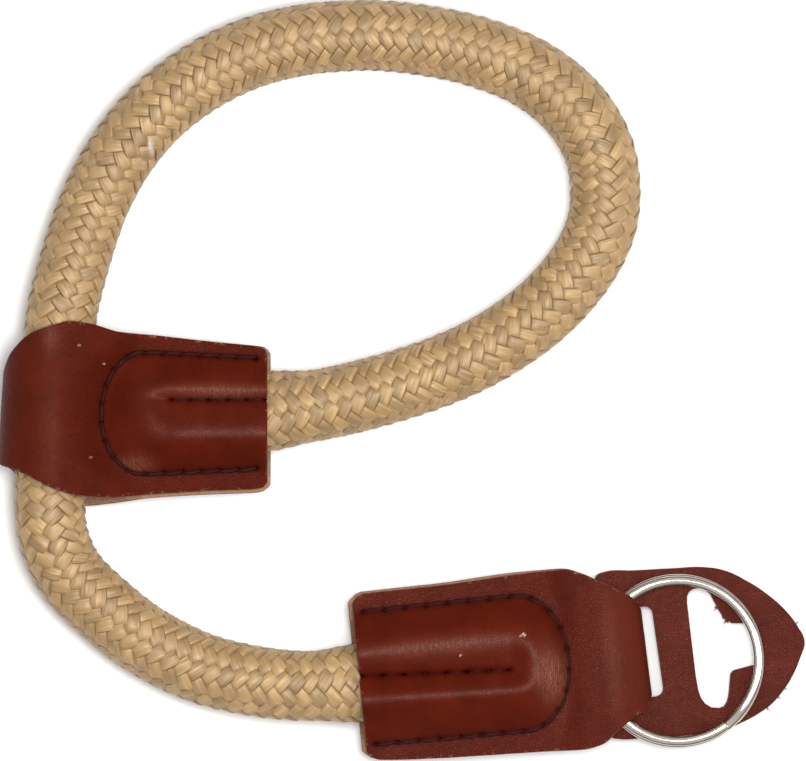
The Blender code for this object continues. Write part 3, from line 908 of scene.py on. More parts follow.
def mesh_from(work, name):
    mesh = bpy.data.meshes.new(name)
    work.to_mesh(mesh)
    work.free()
    return mesh


def grid_mesh(name, rows, columns, copies=1):
    """Flat grids in one mesh, and each vertex's copy, row and column. UVs run 0 to 1 over a grid."""
    work = bmesh.new()
    work.loops.layers.uv.new("UVMap")
    for copy in range(copies):
        bmesh.ops.create_grid(
            work,
            x_segments=rows,
            y_segments=columns,
            size=0.5,
            matrix=Matrix.Translation((0.0, 0.0, copy)),
            calc_uvs=True,
        )
    mesh = mesh_from(work, name)
    places = read_points(mesh)
    row = np.rint((places[:, 0] + 0.5) * rows).astype(int)
    column = np.rint((places[:, 1] + 0.5) * columns).astype(int)
    return mesh, np.rint(places[:, 2]).astype(int), row, column


def read_points(mesh):
    places = np.zeros(len(mesh.vertices) * 3, np.float32)
    mesh.vertices.foreach_get("co", places)
    return places.reshape(-1, 3).astype(float)


def write_points(mesh, points):
    mesh.vertices.foreach_set("co", points.astype(np.float32).ravel())
    mesh.update()


def write_marks(mesh, marks):
    """Keeps numbers of the vertices under their names, for the materials to read."""
    for name, values in marks.items():
        layer = mesh.attributes.new(name, "FLOAT", "POINT")
        layer.data.foreach_set("value", np.asarray(values, np.float32).ravel())


def weld(mesh, sides=0):
    """Joins the points that lie on each other, and closes the holes that have that many sides."""
    work = bmesh.new()
    work.from_mesh(mesh)
    bmesh.ops.remove_doubles(work, verts=work.verts, dist=SAME_POINT)
    if sides:
        rims = [edge for edge in work.edges if edge.is_boundary]
        bmesh.ops.holes_fill(work, edges=rims, sides=sides)
    bmesh.ops.recalc_face_normals(work, faces=work.faces)
    work.to_mesh(mesh)
    work.free()
    mesh.shade_smooth()


def put(tree, kind, inputs=None, **settings):
    """Adds a node. Each input is a value, or the output of another node that it is linked from."""
    node = tree.nodes.new(kind)
    for name, value in settings.items():
        setattr(node, name, value)
    for name, value in (inputs or {}).items():
        if isinstance(value, bpy.types.NodeSocket):
            tree.links.new(value, node.inputs[name])
        else:
            node.inputs[name].default_value = value
    return node


def calculate(tree, operation, first, second=0.0):
    return put(tree, "ShaderNodeMath", {0: first, 1: second}, operation=operation).outputs[0]


def times(tree, first, second):
    return calculate(tree, "MULTIPLY", first, second)


def plus(tree, first, second):
    return calculate(tree, "ADD", first, second)


def remap(tree, value, from_low, from_high, to_low=0.0, to_high=1.0):
    """Takes one range of values to another. What lies outside it stays at the end of the range."""
    labels = ("Value", "From Min", "From Max", "To Min", "To Max")
    inputs = dict(zip(labels, (value, from_low, from_high, to_low, to_high)))
    return put(tree, "ShaderNodeMapRange", inputs).outputs["Result"]


def tinted(colour, share):
    """A colour that is darker or lighter by that factor."""
    return tuple(min(1.0, share * part) for part in colour)


def blend_colours(tree, share, first, second):
    first, second = (
        value if isinstance(value, bpy.types.NodeSocket) else (*value, 1.0) for value in (first, second)
    )
    node = put(tree, "ShaderNodeMix", {0: share, 6: first, 7: second}, data_type="RGBA")
    return node.outputs[2]


def scaled(tree, vector, scale):
    """Where a texture is read, pressed together along each axis by its own factor."""
    return put(tree, "ShaderNodeMapping", {"Vector": vector, "Scale": scale}).outputs[0]


def noise(tree, vector, size, detail=3.0, roughness=0.55, distortion=0.0):
    """A cloud texture whose clouds are about the given size."""
    inputs = {
        "Vector": vector,
        "Scale": 1.0 / size,
        "Detail": detail,
        "Roughness": roughness,
        "Distortion": distortion,
    }
    return put(tree, "ShaderNodeTexNoise", inputs).outputs["Fac"]


def mark(tree, name):
    """A number that the piece's vertices hold under that name."""
    return put(tree, "ShaderNodeAttribute", attribute_name=name).outputs["Fac"]


def bump(tree, height, distance):
    return put(tree, "ShaderNodeBump", {"Height": height, "Distance": distance}).outputs[0]


def new_group(name, inputs, outputs):
    """A shader node group with named sockets: each has a kind and, for an input, its default."""
    group = bpy.data.node_groups.new(name, "ShaderNodeTree")
    for label, kind, default in inputs:
        socket = group.interface.new_socket(label, in_out="INPUT", socket_type=kind)
        if default is not None:
            socket.default_value = default
    for label, kind in outputs:
        group.interface.new_socket(label, in_out="OUTPUT", socket_type=kind)
    return group, group.nodes.new("NodeGroupInput"), group.nodes.new("NodeGroupOutput")


def place_group(tree, group, inputs):
    return put(tree, "ShaderNodeGroup", inputs, node_tree=group)


def leather_grain():
    """The grain of leather: rounded cells with fine creases between, and the dye's cloudiness."""
    found = bpy.data.node_groups.get("Leather grain")
    if found:
        return found
    group, given, result = new_group(
        "Leather grain",
        [("Vector", "NodeSocketVector", None), ("Cell size", "NodeSocketFloat", 0.0003)],
        [("Height", "NodeSocketFloat"), ("Creases", "NodeSocketFloat"), ("Clouds", "NodeSocketFloat")],
    )
    vector = given.outputs["Vector"]
    scale = calculate(group, "DIVIDE", 1.0, given.outputs["Cell size"])
    wander = put(
        group, "ShaderNodeTexNoise", {"Vector": vector, "Scale": 1.0 / 0.0009, "Detail": 2.0}
    ).outputs["Color"]
    shift = put(group, "ShaderNodeVectorMath", {0: wander, "Scale": 0.0005}, operation="SCALE").outputs[0]
    shifted = put(group, "ShaderNodeVectorMath", {0: vector, 1: shift}).outputs[0]
    cells = put(
        group,
        "ShaderNodeTexVoronoi",
        {"Vector": shifted, "Scale": scale, "Randomness": 0.9},
        feature="DISTANCE_TO_EDGE",
    ).outputs["Distance"]
    creases = remap(group, cells, 0.0, 0.22)
    pores = noise(group, vector, 0.00011, detail=2.0)
    made = {
        "Height": plus(group, times(group, pores, 0.08), creases),
        "Creases": creases,
        "Clouds": noise(group, vector, 0.0042, detail=4.0),
    }
    for label, value in made.items():
        group.links.new(value, result.inputs[label])
    return group


def new_material(name):
    """A material with its shader, and where the texture is read: on the piece itself."""
    made = bpy.data.materials.new(name)
    made.use_nodes = True
    tree = made.node_tree
    shader = tree.nodes["Principled BSDF"]
    coordinates = put(tree, "ShaderNodeTexCoord")
    return made, tree, shader, coordinates.outputs


def finish_shader(tree, shader, colour, roughness, normal):
    tree.links.new(colour, shader.inputs["Base Color"])
    tree.links.new(roughness, shader.inputs["Roughness"])
    tree.links.new(normal, shader.inputs["Normal"])


def grain_leather(settings, name, gloss):
    """The dyed side: grained where it lies flat, smoother over the sewn rope, gathered at its folds, with
    painted shade in its creases, seams and needle holes and painted highlights where it is gathered.
    """
    made, tree, shader, place = new_material(name)
    read = {"Vector": place["Object"], "Cell size": settings.grain}
    grain = place_group(tree, leather_grain(), read).outputs
    stretched, wrinkle = mark(tree, "pocket"), mark(tree, "wrinkle")
    crease_shade, hole_shade = tinted(settings.deep, 0.45), tinted(settings.deep, 0.10)

    clouds = remap(tree, grain["Clouds"], 0.3, 0.7)
    colour = blend_colours(tree, clouds, settings.deep, settings.colour)
    # Painted shade: the grain's creases are painted darker, more on the flat leather than over the rope
    in_crease = remap(tree, grain["Creases"], 0.0, 1.0, 1.0, 0.0)
    crease_shade_amount = remap(tree, stretched, 0.0, 1.0, 0.34, 0.16)
    colour = blend_colours(tree, times(tree, in_crease, crease_shade_amount), colour, crease_shade)
    colour = blend_colours(tree, mark(tree, "bent"), colour, settings.wear_and_highlight)
    # Painted shade: the leather is painted darker along its rows of stitches, where it dips in
    colour = blend_colours(tree, times(tree, mark(tree, "seam"), 0.70), colour, crease_shade)
    # Painted shade: the needle holes are painted nearly black
    colour = blend_colours(tree, times(tree, mark(tree, "hole"), 0.9), colour, hole_shade)
    drawn_out = scaled(tree, place["Object"], (2600.0, 700.0, 900.0))
    folds = remap(tree, noise(tree, drawn_out, 1.0, distortion=0.8), 0.35, 0.65)
    folds = times(tree, folds, wrinkle)
    # Painted highlight: the gathered leather is painted in the lighter worn colour, partly its real wear
    # and partly a painted highlight
    rubbed = plus(tree, times(tree, folds, 0.5), times(tree, wrinkle, 0.6))
    colour = blend_colours(tree, calculate(tree, "MINIMUM", rubbed, 1.0), colour, settings.wear_and_highlight)
    near_edge = remap(tree, mark(tree, "edge"), 0.0002, 0.0005, 0.5, 0.0)
    scuffs = remap(tree, noise(tree, place["Object"], 0.0007), 0.56, 0.74)
    colour = blend_colours(tree, times(tree, near_edge, scuffs), colour, settings.raw)
    colour = blend_colours(tree, mark(tree, "fleck"), colour, FLECK_COLOUR)

    rough = remap(tree, grain["Clouds"], 0.3, 0.7, 0.52, 0.46)
    rough = calculate(tree, "SUBTRACT", rough, times(tree, stretched, 0.10))
    strength = remap(tree, stretched, 0.0, 1.0, 0.85, 0.32)
    height = plus(tree, times(tree, grain["Height"], strength), times(tree, folds, 5.0))
    finish_shader(tree, shader, colour, rough, bump(tree, height, 0.00005))
    shine = remap(tree, stretched, 0.0, 1.0, gloss, STRETCHED_GLOSS)
    shine = plus(tree, shine, times(tree, mark(tree, "polish"), 0.125))
    shine = plus(tree, shine, times(tree, wrinkle, 0.48))
    tree.links.new(shine, shader.inputs["Specular IOR Level"])
    shader.inputs["Specular Tint"].default_value = (1.0, 0.72, 0.62, 1.0)
    return made


def flesh_leather(settings):
    """The undyed inner side: matt and fibrous."""
    found = bpy.data.materials.get("Flesh side")
    if found:
        return found
    made, tree, shader, place = new_material("Flesh side")
    fibres = noise(tree, place["Object"], 0.00045, detail=6.0, roughness=0.7, distortion=0.6)
    dark = tinted(settings.raw, 0.45)
    colour = blend_colours(tree, remap(tree, fibres, 0.3, 0.7), dark, settings.raw)
    rough = remap(tree, fibres, 0.3, 0.7, 0.95, 0.80)
    finish_shader(tree, shader, colour, rough, bump(tree, fibres, 0.00012))
    return made


def cut_edge(settings, name, dyed):
    """A cut edge: pale leather with loose fibres, and as much of the dye as is given."""
    made, tree, shader, place = new_material(name)
    fibres = noise(tree, place["Object"], 0.00022, detail=5.0, roughness=0.7)
    stains = noise(tree, place["Object"], 0.0013)
    dark = tinted(settings.raw, 0.40)
    colour = blend_colours(tree, remap(tree, fibres, 0.35, 0.65), dark, settings.raw)
    stained = remap(tree, stains, 0.35, 0.65, 1.4 * dyed - 0.4, 0.5 + 0.5 * dyed)
    colour = blend_colours(tree, stained, colour, settings.colour)
    rough = remap(tree, fibres, 0.3, 0.7, 0.90, 0.75)
    finish_shader(tree, shader, colour, rough, bump(tree, fibres, 0.00010))
    return made


def waxed_thread(settings):
    made, tree, shader, place = new_material("Waxed thread")
    strands = noise(tree, place["Object"], 0.00016, distortion=0.8)
    bright = tinted(settings.thread_colour, 2.2)
    colour = blend_colours(tree, remap(tree, strands, 0.35, 0.65), settings.thread_colour, bright)
    rough = remap(tree, strands, 0.3, 0.7, 0.62, 0.45)
    finish_shader(tree, shader, colour, rough, bump(tree, strands, 0.00006))
    shader.inputs["Specular IOR Level"].default_value = 0.06
    return made


def yarn_material(settings, name):
    """Silky yarn: fine filaments along it, with painted shade at its edges and where it dives below the
    others.
    """
    made, tree, shader, place = new_material(name)
    streaks = noise(tree, scaled(tree, place["UV"], (100.0, 9.0, 1.0)), 1.0)
    filaments = noise(tree, scaled(tree, place["UV"], (120.0, 24.0, 1.0)), 1.0, detail=2.0)
    patches = noise(tree, place["Object"], 0.0028, detail=2.0)
    light, dull = tinted(settings.colour, 1.6), tinted(settings.colour, 0.66)
    # Painted shade: the yarns are painted in their shade colour where they dive below the others and
    # towards their edges
    under = remap(tree, mark(tree, "under"), 0.06, 0.72)
    colour = blend_colours(tree, under, settings.colour, settings.shade)
    colour = blend_colours(tree, remap(tree, streaks, 0.42, 0.68, 0.0, 0.75), colour, light)
    colour = blend_colours(tree, remap(tree, filaments, 0.38, 0.60, 0.85, 0.0), colour, dull)
    colour = blend_colours(tree, remap(tree, patches, 0.38, 0.66, 0.0, 0.45), colour, dull)
    colour = blend_colours(tree, times(tree, mark(tree, "tone"), 0.25), colour, light)
    colour = blend_colours(tree, mark(tree, "lint"), colour, LINT_COLOUR)
    rough = remap(tree, filaments, 0.3, 0.7, 0.56, 0.42)
    height = plus(tree, times(tree, streaks, 0.8), filaments)
    finish_shader(tree, shader, colour, rough, bump(tree, height, 0.00014))
    shader.inputs["Specular IOR Level"].default_value = 0.7
    shader.inputs["Specular Tint"].default_value = (1.0, 0.95, 0.88, 1.0)
    return made


def nickel(settings):
    """Polished nickel with fine scratches along the wire."""
    made, tree, shader, place = new_material("Polished nickel")
    wipes = noise(tree, place["Object"], 0.0018, detail=4.0)
    scratches = noise(tree, place["Object"], 0.00012, detail=2.0, distortion=1.5)
    dull = tinted(settings.colour, 0.82)
    colour = blend_colours(tree, remap(tree, wipes, 0.35, 0.7), settings.colour, dull)
    rough = remap(tree, wipes, 0.3, 0.7, 0.08, 0.12)
    finish_shader(tree, shader, colour, rough, bump(tree, scratches, 0.0000015))
    shader.inputs["Metallic"].default_value = 1.0
    return made


def floor_material(settings):
    made, tree, shader, place = new_material("Pale floor")
    clouds = noise(tree, place["Object"], 0.12, detail=2.0)
    darker = tinted(settings.floor_colour, 0.985)
    colour = blend_colours(tree, clouds, settings.floor_colour, darker)
    rough = remap(tree, clouds, 0.0, 1.0, 0.75, 0.85)
    finish_shader(tree, shader, colour, rough, bump(tree, clouds, 0.00001))
    shader.inputs["Specular IOR Level"].default_value = 0.2
    return made


def near_lint(points):
    """1 on the tuft of pale lint that is caught in the rope, falling off to 0 round it."""
    offset = points[:, :2] - LINT_PLACE
    way = np.array([math.cos(LINT_HEADING), math.sin(LINT_HEADING)])
    along, across = offset @ way, offset @ np.array([-way[1], way[0]])
    tuft = np.exp(-((along / LINT_SIZE[0]) ** 2) - (across / LINT_SIZE[1]) ** 2)
    return np.where(points[:, 2] > ROPE_DIAMETER / 2, tuft, 0.0)


def yarn_mesh(route, settings, hand, surface):
    """All the yarns that wind one way round the rope: over two of the others, then under two."""
    corners = len(YARN_SECTION)
    crossings_per_turn = 2 * settings.yarns
    steps = int(route.length / settings.lay * crossings_per_turn * SAMPLES_PER_CROSSING)
    mesh, yarn, row, column = grid_mesh(f"yarns_{hand:+d}", steps, corners, settings.yarns)
    along = row / steps * route.length
    crossing = along / settings.lay * crossings_per_turn
    if hand > 0:
        weave = np.cos(math.pi / 2 * (crossing + 2 * yarn - 0.5))
    else:
        weave = -np.cos(math.pi / 2 * (2 * yarn - crossing - 0.5))
    weave = np.tanh(WEAVE_STEEPNESS * weave) / math.tanh(WEAVE_STEEPNESS)
    middle_out = ROPE_DIAMETER / 2 - settings.yarn_thickness / 2 - settings.weave_depth - YARN_ROOM
    slope = math.atan2(2 * math.pi * middle_out, settings.lay)
    swell = WIDTH_SWING[0] * np.sin(along * WIDTH_SWING[1] + yarn * 2.4 + hand)
    width = settings.yarn_width * (1.0 + WIDER_ON_TOP * weave + swell)
    section = np.array(YARN_SECTION)[column % corners]
    lateral = width / 2 * section[:, 0]
    lateral = lateral + PLACE_SWING[0] * np.sin(along * PLACE_SWING[1] + yarn * 1.3)
    raised = settings.yarn_thickness / 2 * section[:, 1] - hand * settings.lean * section[:, 0]
    out = middle_out + settings.weave_depth * weave
    angle = 2 * math.pi * (yarn / settings.yarns + hand * along / settings.lay)
    angle = angle + lateral * math.cos(slope) / middle_out
    shifted = np.clip(along - hand * lateral * math.sin(slope), 0.0, route.length)
    shifted = np.where((row == 0) | (row == steps), along, shifted)
    points = on_rope(route, shifted, angle, out + raised)
    write_points(mesh, points)
    across = abs(lateral) / (settings.yarn_width / 2)
    # Painted shade: how far each point of a yarn is painted in the shade colour, where it dives below the
    # crossing yarns and towards its edges
    painted_shade = np.clip(1.0 - (0.5 + 0.5 * weave) * (1.0 - 0.65 * across**4), 0.0, 1.0)
    tone = 0.5 + TONE_SWING[0] * np.sin(yarn * 2.9 + hand + along * TONE_SWING[1])
    write_marks(mesh, {"under": painted_shade, "tone": tone, "lint": near_lint(points)})
    mesh.materials.append(surface)
    weld(mesh, corners)
    return mesh


def core_mesh(route, settings, surface):
    """The filling of the rope, which shows only as dark slits between the yarns."""
    mesh, _, row, column = grid_mesh("core", CORE_STEPS, CORE_SIDES)
    along = row / CORE_STEPS * route.length
    angle = 2 * math.pi * (column % CORE_SIDES) / CORE_SIDES
    out = np.full(len(along), ROPE_DIAMETER / 2 - settings.yarn_thickness - settings.weave_depth)
    write_points(mesh, on_rope(route, along, angle, out))
    none = np.zeros(len(along))
    # Painted shade: the core is painted almost all in the yarns' shade colour, so that it shows as dark
    # slits
    write_marks(mesh, {"under": none + 0.9, "tone": none, "lint": none})
    mesh.materials.append(surface)
    weld(mesh, CORE_SIDES)
    return mesh


def leather_grid(end, settings):
    """The rows and columns of a leather strip, close together at its cut edges, as arrays to read."""
    rim = np.array(RIM_SHARES) * settings.edge_round
    length = end.fold_start
    width = 2 * end.half_width
    upper = np.arange(1, round(length / LEATHER_SPACING)) * LEATHER_SPACING + rim[-1]
    upper = np.r_[rim, upper] / length
    upper = np.r_[upper[upper < 1.0 - 0.3 * LEATHER_SPACING / length], 1.0]
    lower = np.r_[rim / length, np.linspace(0.03, 1.0, LOWER_STEPS)]
    fold = np.linspace(0.0, 1.0, FOLD_STEPS)[1:-1]
    layer = np.r_[np.ones(len(upper)), np.zeros(len(fold)), -np.ones(len(lower))]
    place = np.r_[upper, fold, lower[::-1]]
    inner = np.linspace(rim[-1] / width, 1.0 - rim[-1] / width, ACROSS_STEPS)
    share = np.r_[rim[:-1] / width, inner, 1.0 - rim[-2::-1] / width]
    return layer, place, share


def face_up(mesh, top, rim_width):
    """Turns a strip's faces until that vertex of its upper layer faces up, and marks its rim as cut."""
    work = bmesh.new()
    work.from_mesh(mesh)
    work.verts.ensure_lookup_table()
    work.normal_update()
    if work.verts[top].normal.z < 0.0:
        bmesh.ops.reverse_faces(work, faces=work.faces)
    from_edge = work.verts.layers.float["edge"]
    for face in work.faces:
        if max(vert[from_edge] for vert in face.verts) < rim_width:
            face.material_index = 2
    work.to_mesh(mesh)
    work.free()
    mesh.shade_smooth()


def thickened(name, end, mesh, inward):
    """A strip with its thickness, thinner where it is rounded: 0 inward is a cut edge, 1 is past it."""
    strip = add_object(name, mesh)
    strip.matrix_world = end_matrix(end)
    roundness = np.round(np.sqrt(1.0 - (1.0 - inward) ** 2), 2)
    group = strip.vertex_groups.new(name="Rounded")
    for weight in np.unique(roundness):
        group.add(np.flatnonzero(roundness == weight).tolist(), float(weight), "REPLACE")
    wall = strip.modifiers.new("Leather", "SOLIDIFY")
    wall.thickness = LEATHER
    wall.offset = 0.0
    wall.vertex_group = group.name
    wall.thickness_vertex_group = EDGE_THICKNESS
    wall.material_offset = 1
    wall.material_offset_rim = 2
    return settled(strip)


def leather_mesh(name, end, gaps, settings, surfaces):
    """A folded strip with its thickness, its edges rounded off and its needle holes pulled in."""
    layer, place, share = leather_grid(end, settings)
    mesh, _, row, column = grid_mesh(name, len(place) - 1, len(share) - 1)
    for surface in surfaces:
        mesh.materials.append(surface)
    points, marks = leather_surface(end, gaps, layer[row], place[row], share[column], settings.stitch)
    write_points(mesh, points)
    write_marks(mesh, marks)
    top = int(np.argmin(np.hypot(row - 10.0, column - len(share) / 2)))
    face_up(mesh, top, EDGE_SHOWN * settings.edge_round)
    solid = thickened(name, end, mesh, np.clip(marks["edge"] / settings.edge_round, 0.0, 1.0))
    skin = len(points)
    facing = np.zeros(len(solid.vertices) * 3, np.float32)
    solid.vertex_normals.foreach_get("vector", facing)
    moved_in = read_points(solid)
    moved_in[:skin] -= facing.reshape(-1, 3)[:skin] * HOLE_DEPTH * marks["hole"][:, None]
    write_points(solid, moved_in)
    solid.set_sharp_from_angle(angle=math.radians(50.0))
    return solid


def thread_mesh(name, end, gaps, settings, surface):
    """The stitches of a leather end: each rises from a needle hole, lies on the leather and dives."""
    line = bpy.data.curves.new(name, "CURVE")
    line.dimensions = "3D"
    line.bevel_depth = settings.thread / 2
    line.bevel_resolution = 2
    line.use_fill_caps = True
    line.materials.append(surface)
    share = np.linspace(0.0, 1.0, STITCH_POINTS)
    lift = settings.thread * (0.95 * np.sin(math.pi * share) ** 0.7 - 0.62) - end.stitch_sunk
    slant = STITCH_SLANT * (share - 0.5)
    thickness = 1.0 - 0.25 * abs(2 * share - 1.0) ** 3
    for seam in seam_lines(end):
        holes = evenly(seam, settings.stitch * end.stitch_share)
        for start, stop in zip(holes, holes[1:]):
            way = unit(stop - start)
            across = np.array([-way[1], way[0]])
            plan = start + (stop - start) * share[:, None] + slant[:, None] * across
            skin, facing = upper_surface(end, gaps, plan[:, 0], plan[:, 1])
            points = skin + (facing * (0.4, 0.4, 1.0)) * lift[:, None]
            spline = line.splines.new("POLY")
            spline.points.add(len(points) - 1)
            for knot, place, thick in zip(spline.points, points, thickness):
                knot.co = (*place, 1.0)
                knot.radius = thick
    thread = add_object(name, line)
    thread.matrix_world = end_matrix(end)
    mesh = settled(thread)
    mesh.shade_smooth()
    return mesh


def leaned(points, middle):
    """Turns a slot's outline by the small angle at which it was punched, and moves it to its place."""
    turn = Matrix.Rotation(PAD_SLOT_LEAN, 2)
    return [tuple(turn @ Vector(point) + Vector(middle)) for point in points]


def tab_neck():
    """The width and the middle of the tab's strip where it passes through the pad's slot."""
    halfway = min(TAB.turns, key=lambda row: abs(row.round - 0.5))
    width = (halfway.right - halfway.left) * TAB.half_width
    return width, (halfway.right + halfway.left) / 2 * TAB.half_width


def round_slot(width, length, corner, steps=4):
    """A slot with four rounded corners, its length along Y."""
    points = []
    for quarter, (side, end) in enumerate(((1, 1), (-1, 1), (-1, -1), (1, -1))):
        for step in range(steps + 1):
            angle = math.pi / 2 * (quarter + step / steps)
            x = side * (width / 2 - corner) + corner * math.cos(angle)
            y = end * (length / 2 - corner) + corner * math.sin(angle)
            points.append((x, y))
    return points


def on_pad(table):
    """The points of an outline table, measured from the bar's edge."""
    return [(row.along * PAD_LENGTH - PAD_BAR, row.across * PAD_WIDTH / 2) for row in table]


def add_spline(curve, points, kind="POLY"):
    """Adds a closed outline: straight from point to point, or softly rounded by its own handles."""
    spline = curve.splines.new(kind)
    knots = spline.bezier_points if kind == "BEZIER" else spline.points
    knots.add(len(points) - 1)
    for knot, (x, y) in zip(knots, points):
        if kind == "BEZIER":
            knot.co = (x, y, 0.0)
            knot.handle_left_type = "AUTO"
            knot.handle_right_type = "AUTO"
        else:
            knot.co = (x, y, 0.0, 1.0)
    spline.use_cyclic_u = True


def add_frays(work):
    """Pairs of loose fibres, thin and tapering, where the pad's cut edge has frayed."""
    for fray in FRAYS:
        (root,) = on_pad([fray])
        for turn, share in FRAY_FIBRES:
            length = share * fray.length
            heading = math.radians(fray.degrees) + turn
            place = Matrix.Translation((*root, FRAY_HEIGHT)) @ Matrix.Rotation(heading, 4, "Z")
            place = place @ Matrix.Rotation(FRAY_SLOPE, 4, "Y")
            made = bmesh.ops.create_cone(
                work,
                cap_ends=True,
                segments=6,
                radius1=FRAY_RADII[0],
                radius2=FRAY_RADII[1],
                depth=length,
                matrix=place @ Matrix.Translation((0.0, 0.0, length / 2)),
            )
            for face in {face for vert in made["verts"] for face in vert.link_faces}:
                face.material_index = 2


def pad_plate(surfaces):
    """The pad cut out with its two slots, flat and with sharp edges."""
    outline = bpy.data.curves.new("pad", "CURVE")
    outline.dimensions = "2D"
    outline.fill_mode = "BOTH"
    outline.extrude = PAD_THICKNESS / 2
    outline.resolution_u = 8
    for surface in surfaces:
        outline.materials.append(surface)
    add_spline(outline, on_pad(PAD_OUTLINE), "BEZIER")
    neck_width, neck_middle = tab_neck()
    slot = round_slot(PAD_SLOT_WIDTH, neck_width + 2 * CLEARANCE, PAD_SLOT_CORNER)
    add_spline(outline, leaned(slot, (PAD_SLOT_WIDTH / 2, neck_middle)))
    add_spline(outline, on_pad(TEE_OUTLINE))
    return settled(add_object("pad", outline))


def soften_edges(work):
    """Rounds off the pad's upper and lower edges."""
    sharp = math.radians(60.0)
    corners = [edge for edge in work.edges if edge.is_manifold and edge.calc_face_angle() > sharp]
    bmesh.ops.bevel(
        work,
        geom=[edge for edge in corners if abs(edge.verts[0].co.z - edge.verts[1].co.z) < PAD_TOLERANCE],
        offset=PAD_EDGE_ROUNDING,
        offset_type="OFFSET",
        affect="EDGES",
        segments=3,
        profile=0.5,
        material=-1,
        clamp_overlap=True,
    )


def divide(work):
    """Cuts the pad's faces up along both axes, so that they can take its unevenness."""
    spans = (
        (Vector((1.0, 0.0, 0.0)), -PAD_BAR, PAD_LENGTH - PAD_BAR),
        (Vector((0.0, 1.0, 0.0)), -0.55 * PAD_WIDTH, 0.55 * PAD_WIDTH),
    )
    for way, low, high in spans:
        for place in np.arange(low + PAD_SPACING, high, PAD_SPACING):
            bmesh.ops.bisect_plane(
                work,
                geom=[*work.verts, *work.edges, *work.faces],
                dist=PAD_TOLERANCE,
                plane_co=way * place,
                plane_no=way,
            )


def pad_mesh(surfaces):
    """The pad: cut out with its two slots, its edges softened, and not quite flat."""
    mesh = pad_plate(surfaces)
    work = bmesh.new()
    work.from_mesh(mesh)
    bmesh.ops.remove_doubles(work, verts=work.verts, dist=PAD_TOLERANCE)
    bmesh.ops.dissolve_limit(work, angle_limit=math.radians(1.0), verts=work.verts, edges=work.edges)
    soften_edges(work)
    divide(work)
    bmesh.ops.recalc_face_normals(work, faces=work.faces)
    flat = PAD_THICKNESS / 2 - 1e-5
    for face in work.faces:
        height = face.calc_center_median().z
        face.material_index = 0 if height > flat else 1 if height < -flat else 2
    add_frays(work)
    work.to_mesh(mesh)
    work.free()
    points = read_points(mesh)
    points[:, 2] += UNEVENNESS * ripple(points[:, 0], points[:, 1], PAD_HUMPS, 1.9)
    points[:, 2] += PAD_THICKNESS / 2
    write_points(mesh, moved(rest_frame(), points))
    none = np.zeros(len(points))
    marks = dict.fromkeys(("pocket", "polish", "hole", "seam", "bent", "wrinkle", "fleck"), none)
    write_marks(mesh, {**marks, "edge": none + 1.0})
    mesh.shade_smooth()
    mesh.set_sharp_from_angle(angle=math.radians(55.0))
    return mesh


def ring_line():
    """The split ring's coil: two turns, with a short step from the lower one to the upper one."""
    middle = (RING_OUTER_DIAMETER - RING_WIRE_WIDTH) / 2
    rise = RING_WIRE_HEIGHT + RING_TURN_GAP
    turned = np.arange(2 * RING_STEPS + 1) / RING_STEPS * (1.0 - RING_SHORT) + RING_SHORT
    angle = 2 * math.pi * turned
    upper = smoothstep(1.0 - RING_STEP_UP / 2, 1.0 + RING_STEP_UP / 2, turned)
    radius = middle - RING_TURN_OFFSET * upper
    return np.stack([radius * np.cos(angle), radius * np.sin(angle), rise * (upper - 0.5)], axis=-1)


def wire_section(roundness):
    """The outline of the ring's wire, an oval or flatter."""
    power = 2.0 / roundness
    corners = []
    for step in range(WIRE_SIDES):
        angle = -2 * math.pi * (step + 0.5) / WIRE_SIDES
        x = RING_WIRE_WIDTH / 2 * math.copysign(abs(math.cos(angle)) ** power, math.cos(angle))
        y = RING_WIRE_HEIGHT / 2 * math.copysign(abs(math.sin(angle)) ** power, math.sin(angle))
        corners.append((x, y))
    section = bpy.data.curves.new("wire_section", "CURVE")
    section.dimensions = "2D"
    add_spline(section, corners)
    return add_object("wire_section", section)


def ring_mesh(settings, surface):
    """The coil of wire, lying on the pad."""
    profile = wire_section(settings.roundness)
    coil = bpy.data.curves.new("coil", "CURVE")
    coil.dimensions = "3D"
    coil.twist_mode = "Z_UP"
    coil.bevel_mode = "OBJECT"
    coil.bevel_object = profile
    coil.use_fill_caps = True
    coil.materials.append(surface)
    line = ring_line()
    spline = coil.splines.new("POLY")
    spline.points.add(len(line) - 1)
    for knot, place in zip(spline.points, line):
        knot.co = (*place, 1.0)
    ring = add_object("coil", coil)
    along = RING_OUTER_DIAMETER / 2 - RING_BEHIND_BAR_EDGE
    above = PAD_THICKNESS + CLEARANCE + RING_HEIGHT / 2
    place = rest_frame() @ Matrix.Translation((along, RING_OFF_AXIS, above))
    ring.matrix_world = place @ Matrix.Rotation(RING_COIL_END, 4, "Z")
    mesh = settled(ring)
    bpy.data.objects.remove(profile)
    weld(mesh)
    mesh.set_sharp_from_angle(angle=math.radians(60.0))
    return mesh


